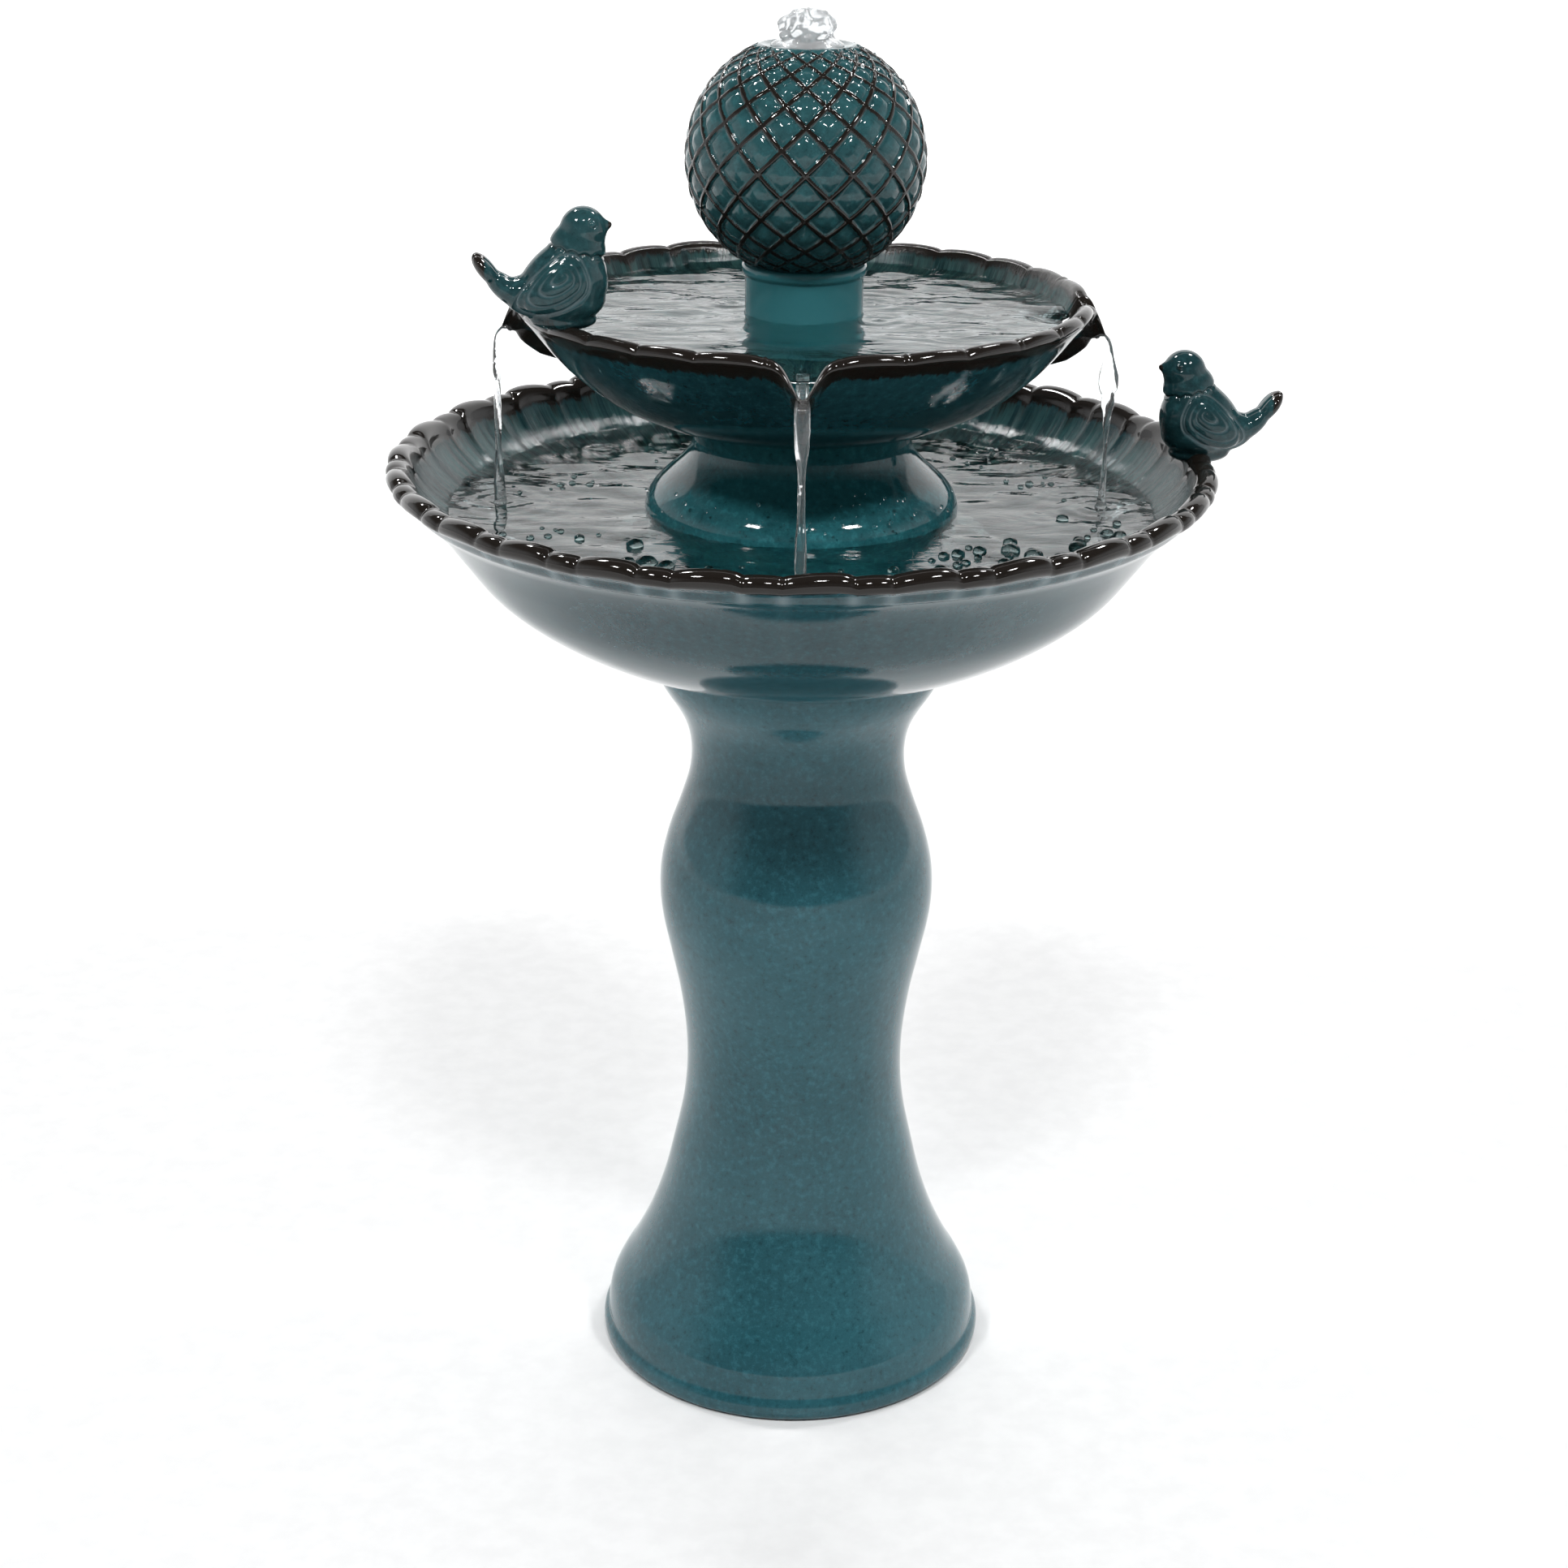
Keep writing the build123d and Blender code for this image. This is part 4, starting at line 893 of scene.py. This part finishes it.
def dome(bm, x, y, z, radius, squat):
    """One rounded drop or bubble."""
    place = Matrix.Translation((x, y, z)) @ Matrix.Diagonal((radius, radius, radius * squat, 1))
    bmesh.ops.create_icosphere(bm, subdivisions=3, radius=1.0, matrix=place)


def bubbles(props, material):
    """Bubbles and foam afloat on the lower pool, in loose groups."""
    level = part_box("lower_bowl")[1].z - props.low_drop
    pick = random.Random(11)
    groups = (((108, -84), 62, 26, (2.2, 4.8)), ((84, -112), 30, 9, (1.8, 4.0)),
              ((-76, -116), 44, 11, (2.4, 6.0)), ((-122, -62), 24, 10, (1.2, 2.8)),
              ((138, -36), 24, 9, (1.4, 3.4)), ((-30, -134), 34, 8, (1.0, 2.6)),
              ((30, -138), 30, 7, (1.0, 2.6)), ((120, 40), 24, 9, (0.9, 2.2)), ((-120, 34), 26, 9, (0.9, 2.4)),
              ((96, 92), 20, 16, (0.8, 1.7)), ((-84, 96), 20, 10, (0.8, 1.7)), ((20, 128), 40, 12, (0.9, 2.0)))
    bm = bmesh.new()
    placed = []
    for (cx, cy), spread, count, (small, large) in groups:
        for _ in range(count):
            radius = small + (large - small) * pick.random() ** 2
            x, y = cx + pick.gauss(0, spread / 2), cy + pick.gauss(0, spread / 2)
            if not 82 + radius < math.hypot(x, y) < 164 - radius:
                continue
            if any(math.hypot(x - a, y - b) < 0.9 * (radius + c) for a, b, c in placed):
                continue
            placed.append((x, y, radius))
            dome(bm, x * MM, y * MM, level + 0.12 * radius * MM, radius * MM, 0.72)
    made = finished("bubbles", bm)
    painted(made, material)
    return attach(made, "lower_bowl")


STAND_TOP_R = 76.2 * MM


def splashes(material):
    """Drops that cling to the riser stand and the ball."""
    stand_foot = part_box("riser_stand")[0].z
    pick = random.Random(4)
    bm = bmesh.new()
    for _ in range(110):
        az = math.radians(-90 + pick.gauss(0, 34))
        height = stand_foot + 0.068 + pick.random() * 0.028
        radius = STAND_TOP_R
        dome(bm, radius * math.cos(az), radius * math.sin(az), height - 0.027 * pick.random(),
             (0.35 + 0.7 * pick.random() ** 2) * MM, 1.15)
    made = finished("stand_drops", bm)
    painted(made, material)
    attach(made, "upper_tier")
    big, middle = ball_sphere()
    bm = bmesh.new()
    for _ in range(70):
        az = TAU * pick.random()
        latitude = math.radians(66 - 34 * pick.random() ** 1.5)
        out = big * math.cos(latitude)
        dome(bm, out * math.cos(az), out * math.sin(az), middle + big * math.sin(latitude),
             (0.4 + 0.7 * pick.random() ** 2) * MM, 0.9)
    made = finished("ball_drops", bm)
    painted(made, material)
    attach(made, "ball")


# ---------------------------------------------------------------- stage
def floor_and_wall():
    """A pale seamless floor that curves up into a wall behind."""
    bm = bmesh.new()
    line = [(y, 0.0) for y in np.linspace(-4.5, 2.4, 12)]
    line += [(2.4 + 1.2 * math.sin(a), 1.2 - 1.2 * math.cos(a)) for a in np.linspace(0.12, math.pi / 2, 14)]
    line += [(3.6, z) for z in (1.6, 2.4, 4.2)]
    verts = [bm.verts.new((-4.5, y, z)) for y, z in line]
    edges = [bm.edges.new(pair) for pair in zip(verts, verts[1:])]
    made = bmesh.ops.extrude_edge_only(bm, edges=edges)
    moved = [item for item in made["geom"] if isinstance(item, bmesh.types.BMVert)]
    bmesh.ops.translate(bm, verts=moved, vec=(9, 0, 0))
    made = finished("studio_floor", bm)
    shader = Shader("pale_sweep")
    grain = shader.noise(60.0, 4.0, 0.6)
    shader.set(Base_Color=shader.mix(shader.ramp(grain, 0.3, 0.7), (0.86, 0.86, 0.86), (0.90, 0.90, 0.90)),
               Roughness=0.9)
    away = shader.tree.nodes.new("ShaderNodeVectorMath")
    away.operation = "LENGTH"
    shader.put(away.inputs[0], shader.place)
    shader.set(Emission_Color=(1, 1, 1),
               Emission_Strength=shader.ramp(away.outputs["Value"], 0.9, 3.2, 0.0, 0.8))
    made.data.materials.append(shader.material)


def lamp(name, place, target, width, height, power, colour=(1, 1, 1)):
    """A soft box aimed at a point."""
    light = bpy.data.lights.new(name, "AREA")
    light.shape = "RECTANGLE"
    light.size = width
    light.size_y = height
    light.energy = power
    light.color = colour
    made = bpy.data.objects.new(name, light)
    made.location = place
    made.rotation_euler = (Vector(target) - Vector(place)).to_track_quat("-Z", "Y").to_euler()
    bpy.context.scene.collection.objects.link(made)


def sky_glow(tree, strength):
    """A room that is pale round the sides and behind, and dim above and in front."""
    nodes, links = tree.nodes, tree.links
    way = nodes.new("ShaderNodeSeparateXYZ")
    links.new(nodes.new("ShaderNodeTexCoord").outputs["Generated"], way.inputs[0])
    shares = []
    for socket, low, high, first, last in ((way.outputs["Z"], 0.2, 0.62, 1.0, 0.06),
                                           (way.outputs["Y"], -0.8, -0.25, 0.2, 1.0)):
        ramp = nodes.new("ShaderNodeMapRange")
        ramp.interpolation_type = "SMOOTHSTEP"
        links.new(socket, ramp.inputs["Value"])
        for index, limit in enumerate((low, high, first, last)):
            ramp.inputs[index + 1].default_value = limit
        shares.append(ramp.outputs["Result"])
    both = nodes.new("ShaderNodeMath")
    both.operation = "MULTIPLY"
    links.new(shares[0], both.inputs[0])
    links.new(shares[1], both.inputs[1])
    glow = nodes.new("ShaderNodeMath")
    glow.operation = "MULTIPLY_ADD"
    links.new(both.outputs[0], glow.inputs[0])
    glow.inputs[1].default_value = strength
    glow.inputs[2].default_value = 0.06 * strength
    back = nodes["Background"]
    back.inputs[0].default_value = (0.96, 0.98, 1.0, 1)
    links.new(glow.outputs[0], back.inputs[1])


def stage(props):
    """Floor, soft boxes, sky and camera."""
    floor_and_wall()
    lamps = (("front_left", (-1.1, -1.15, 2.2), 24), ("front_middle", (0.12, -1.5, 2.4), 22),
             ("front_right", (1.15, -1.05, 2.2), 24), ("rear_left", (-0.9, 0.9, 2.3), 20),
             ("rear_right", (0.95, 0.85, 2.3), 20))
    for name, place, power in lamps:
        lamp(name, place, (0, 0, 0.4), 0.32, 0.2, power * props.light)
    lamp("wall_wash", (0, 1.6, 3.4), (0, 3.5, 1.2), 3.6, 0.8, 18 * props.light)
    world = bpy.data.worlds.new("studio_sky")
    world.use_nodes = True
    sky_glow(world.node_tree, props.sky)
    bpy.context.scene.world = world
    bpy.context.scene.view_settings.view_transform = "Standard"
    lens = bpy.data.cameras.new("camera")
    lens.sensor_width = 36.0
    lens.lens = props.lens
    lens.shift_x = -0.00916
    lens.shift_y = -0.0445
    lens.dof.use_dof = False
    eye = bpy.data.objects.new("camera", lens)
    place = Matrix.Translation((0, -props.distance, props.height))
    tilt = Matrix.Rotation(math.pi / 2 - props.pitch, 4, "X")
    eye.matrix_world = place @ tilt @ Matrix.Rotation(props.roll, 4, "Z")
    bpy.context.scene.collection.objects.link(eye)
    bpy.context.scene.camera = eye


# ---------------------------------------------------------------- add-on
def length(name, words, default):
    """A length in metres."""
    return FloatProperty(name=name, description=words, default=default, unit="LENGTH", subtype="DISTANCE",
                         precision=5)


class BirdBathPedestal(bpy.types.PropertyGroup):
    arch_width: length("Arch width", "Width of the cord's arch", 26 * MM)
    arch_height: length("Arch height", "Height of the cord's arch", 24 * MM)
    steps: IntProperty(name="Steps", description="Mesh steps round the pedestal", default=288, min=32)


class BirdBathLowerBowl(bpy.types.PropertyGroup):
    lobes: IntProperty(name="Lobes", description="Wide lobes round the rim", default=27, min=3)
    wide_share: FloatProperty(name="Wide share", description="Share of a pitch taken by its wide lobe",
                              default=0.64, subtype="FACTOR")
    crimp_depth: length("Crimp depth", "How far a crease goes into the rim", 2.1 * MM)
    crimp_rise: length("Crimp rise", "How far a crease drops below the lobes", 3.4 * MM)
    scoop_depth: length("Scoop depth", "Hollow of each lobe inside", 3.2 * MM)
    steps: IntProperty(name="Steps", description="Mesh steps round the bowl", default=864, min=32)


class BirdBathUpperBowl(bpy.types.PropertyGroup):
    lobes: IntProperty(name="Lobes", description="Lobes inside the rim", default=28, min=3)
    scoop_depth: length("Scoop depth", "Hollow of each lobe inside", 2.2 * MM)
    spouts: IntProperty(name="Spouts", description="Pouring lips", default=4, min=1)
    spout_width: length("Spout width", "Width of a lip at the rim", 25 * MM)
    spout_drop: length("Spout drop", "Depth of a lip below the rim", 19 * MM)
    spout_reach: length("Spout reach", "How far a lip passes the rim", 7.5 * MM)
    steps: IntProperty(name="Steps", description="Mesh steps round the bowl", default=720, min=32)


class BirdBathBall(bpy.types.PropertyGroup):
    ribs: IntProperty(name="Ribs", description="Ribs of each hand", default=16, min=2)
    rib_width: length("Rib width", "Width of a rib at its foot", 3.1 * MM)
    pillow: length("Pillow", "Rise of each diamond", 1.9 * MM)
    rows: IntProperty(name="Rows", description="Mesh rows from seat to crown", default=176, min=8)
    steps: IntProperty(name="Steps", description="Mesh steps round the ball", default=448, min=32)


class BirdBathBirds(bpy.types.PropertyGroup):
    rim_radius_low: length("Lower rim", "Outer radius of the lower rim", 203.2 * MM)
    rim_radius_top: length("Upper rim", "Outer radius of the upper rim", 139.7 * MM)
    inset: length("Inset", "Middle of a bird inside its rim", 7 * MM)
    tall: length("Height", "Height of a bird", 49.5 * MM)


class BirdBathWater(bpy.types.PropertyGroup):
    low_drop: length("Lower level", "Water below the lower rim", 26.3 * MM)
    top_rise: length("Upper level", "Water above the upper bowl's foot", 54 * MM)
    stream_reach: length("Stream reach", "Distance of the streams from the middle", 148 * MM)


class BirdBathStage(bpy.types.PropertyGroup):
    light: FloatProperty(name="Light", description="Strength of the lamps", default=0.76, min=0)
    sky: FloatProperty(name="Sky", description="Strength of the surrounding light", default=0.8, min=0)
    lens: FloatProperty(name="Lens", description="Focal length in mm", default=66.13, min=1)
    distance: length("Distance", "Camera from the object's axis", 1.37)
    height: length("Height", "Camera above the floor", 0.856)
    pitch: FloatProperty(name="Pitch", description="Camera below level", default=math.radians(20.19),
                         subtype="ANGLE", unit="ROTATION")
    roll: FloatProperty(name="Roll", description="Camera's lean", default=math.radians(0.77), subtype="ANGLE",
                        unit="ROTATION")


class BIRDBATH_OT_pedestal(bpy.types.Operator):
    """Glaze the pedestal and the riser stand"""
    bl_idname = "birdbath.pedestal"
    bl_label = "Pedestal and stand"

    def execute(self, context):
        pedestal(context.scene.birdbath_pedestal)
        repaint(["riser_stand"],
                glaze("stand_glaze_teal", (0.016, 0.110, 0.130), (0.030, 0.165, 0.188), False, 220.0))
        return {"FINISHED"}


class BIRDBATH_OT_lower_bowl(bpy.types.Operator):
    """Build the large crimped bowl"""
    bl_idname = "birdbath.lower_bowl"
    bl_label = "Lower bowl"

    def execute(self, context):
        lower_bowl(context.scene.birdbath_lower_bowl)
        return {"FINISHED"}


class BIRDBATH_OT_upper_bowl(bpy.types.Operator):
    """Build the small bowl with its pouring lips and column"""
    bl_idname = "birdbath.upper_bowl"
    bl_label = "Upper bowl"

    def execute(self, context):
        upper_bowl(context.scene.birdbath_upper_bowl)
        return {"FINISHED"}


class BIRDBATH_OT_ball(bpy.types.Operator):
    """Build the ribbed ball"""
    bl_idname = "birdbath.ball"
    bl_label = "Ball"

    def execute(self, context):
        ball(context.scene.birdbath_ball)
        return {"FINISHED"}


class BIRDBATH_OT_birds(bpy.types.Operator):
    """Build both birds on their rims"""
    bl_idname = "birdbath.birds"
    bl_label = "Birds"

    def execute(self, context):
        props = context.scene.birdbath_birds
        bird("bird_on_lower_rim", "bird_lower", "lower_bowl", 6.0, "lower_bowl", 186.0, -2.4 * MM, props)
        bird("bird_on_upper_rim", "bird_upper", "upper_tier", 216.0, "upper_bowl", 4.0, 2.4 * MM, props)
        return {"FINISHED"}


class BIRDBATH_OT_water(bpy.types.Operator):
    """Fill the bowls and run the streams, jet, bubbles and drops"""
    bl_idname = "birdbath.water"
    bl_label = "Water"

    def execute(self, context):
        props = context.scene.birdbath_water
        pools(props)
        running = water("stream_water", (0.97, 0.985, 0.99), 0.8, 0.05)
        for index, turn in enumerate(STREAM_TURNS):
            stream(index, turn, (0.001, -0.002, 0.004, 0.0)[index], props, running)
        jet()
        film = water("bubble_water", (0.93, 0.96, 0.96), 0.15)
        bubbles(props, water("bubble_film", (0.62, 0.76, 0.76), 0.1))
        splashes(film)
        return {"FINISHED"}


class BIRDBATH_OT_pump(bpy.types.Operator):
    """Finish the pump, tube, seals and grommet"""
    bl_idname = "birdbath.pump"
    bl_label = "Pump and fittings"

    def execute(self, context):
        repaint(["pump_housing", "volute_cover", "intake_cover", "outlet_barb", "flow_slider", "jet_nozzle"],
                moulded("black_pump_plastic", (0.012, 0.013, 0.014), 700.0, 0.42))
        repaint(["cord_grommet", "tube_seal", "suction_cups", "cord_gland", "front_bearing", "rear_bearing"],
                moulded("matt_rubber", (0.010, 0.010, 0.010), 500.0, 0.62))
        repaint(["riser_tube"], clear_plastic())
        repaint(["filter_foam"], foam_pad())
        repaint(["impeller"], moulded("impeller_white", (0.55, 0.55, 0.52), 600.0, 0.4))
        repaint(["rotor_magnet"], moulded("sintered_ferrite", (0.028, 0.027, 0.027), 900.0, 0.5))
        repaint(["impeller_shaft"], moulded("ground_ceramic", (0.72, 0.71, 0.68), 1200.0, 0.2, 0.00005))
        repaint(["stator_core"], laminations())
        repaint(["stator_coil"], winding())
        repaint(["potting"], moulded("cast_resin", (0.014, 0.014, 0.016), 300.0, 0.3, 0.0001))
        return {"FINISHED"}


class BIRDBATH_OT_stage(bpy.types.Operator):
    """Set up the floor, lamps and camera"""
    bl_idname = "birdbath.stage"
    bl_label = "Stage"

    def execute(self, context):
        stage(context.scene.birdbath_stage)
        return {"FINISHED"}


class BIRDBATH_PT_panel(bpy.types.Panel):
    """Buttons and sizes for the bird bath"""
    bl_idname = "BIRDBATH_PT_panel"
    bl_label = "Bird bath"
    bl_space_type = "VIEW_3D"
    bl_region_type = "UI"
    bl_category = "Bird bath"

    def draw(self, context):
        for operator in OPERATORS:
            box = self.layout.box()
            box.operator(operator.bl_idname)
            props = getattr(context.scene, operator.bl_idname.replace(".", "_"), None)
            for name in getattr(props, "__annotations__", {}):
                box.prop(props, name)


GROUPS = {
    "birdbath_pedestal": BirdBathPedestal,
    "birdbath_lower_bowl": BirdBathLowerBowl,
    "birdbath_upper_bowl": BirdBathUpperBowl,
    "birdbath_ball": BirdBathBall,
    "birdbath_birds": BirdBathBirds,
    "birdbath_water": BirdBathWater,
    "birdbath_stage": BirdBathStage,
}
OPERATORS = (BIRDBATH_OT_pedestal, BIRDBATH_OT_lower_bowl, BIRDBATH_OT_upper_bowl, BIRDBATH_OT_ball,
             BIRDBATH_OT_birds, BIRDBATH_OT_water, BIRDBATH_OT_pump, BIRDBATH_OT_stage)


def register():
    for name, group in GROUPS.items():
        bpy.utils.register_class(group)
        setattr(bpy.types.Scene, name, PointerProperty(type=group))
    for operator in OPERATORS:
        bpy.utils.register_class(operator)
    bpy.utils.register_class(BIRDBATH_PT_panel)


def unregister():
    bpy.utils.unregister_class(BIRDBATH_PT_panel)
    for operator in reversed(OPERATORS):
        bpy.utils.unregister_class(operator)
    for name, group in GROUPS.items():
        delattr(bpy.types.Scene, name)
        bpy.utils.unregister_class(group)


def main():
    """Builds everything."""
    register()
    bpy.ops.birdbath.pedestal()
    bpy.ops.birdbath.lower_bowl()
    bpy.ops.birdbath.upper_bowl()
    bpy.ops.birdbath.ball()
    bpy.ops.birdbath.birds()
    bpy.ops.birdbath.water()
    bpy.ops.birdbath.pump()
    bpy.ops.birdbath.stage()


if __name__ == "__main__":
    main()
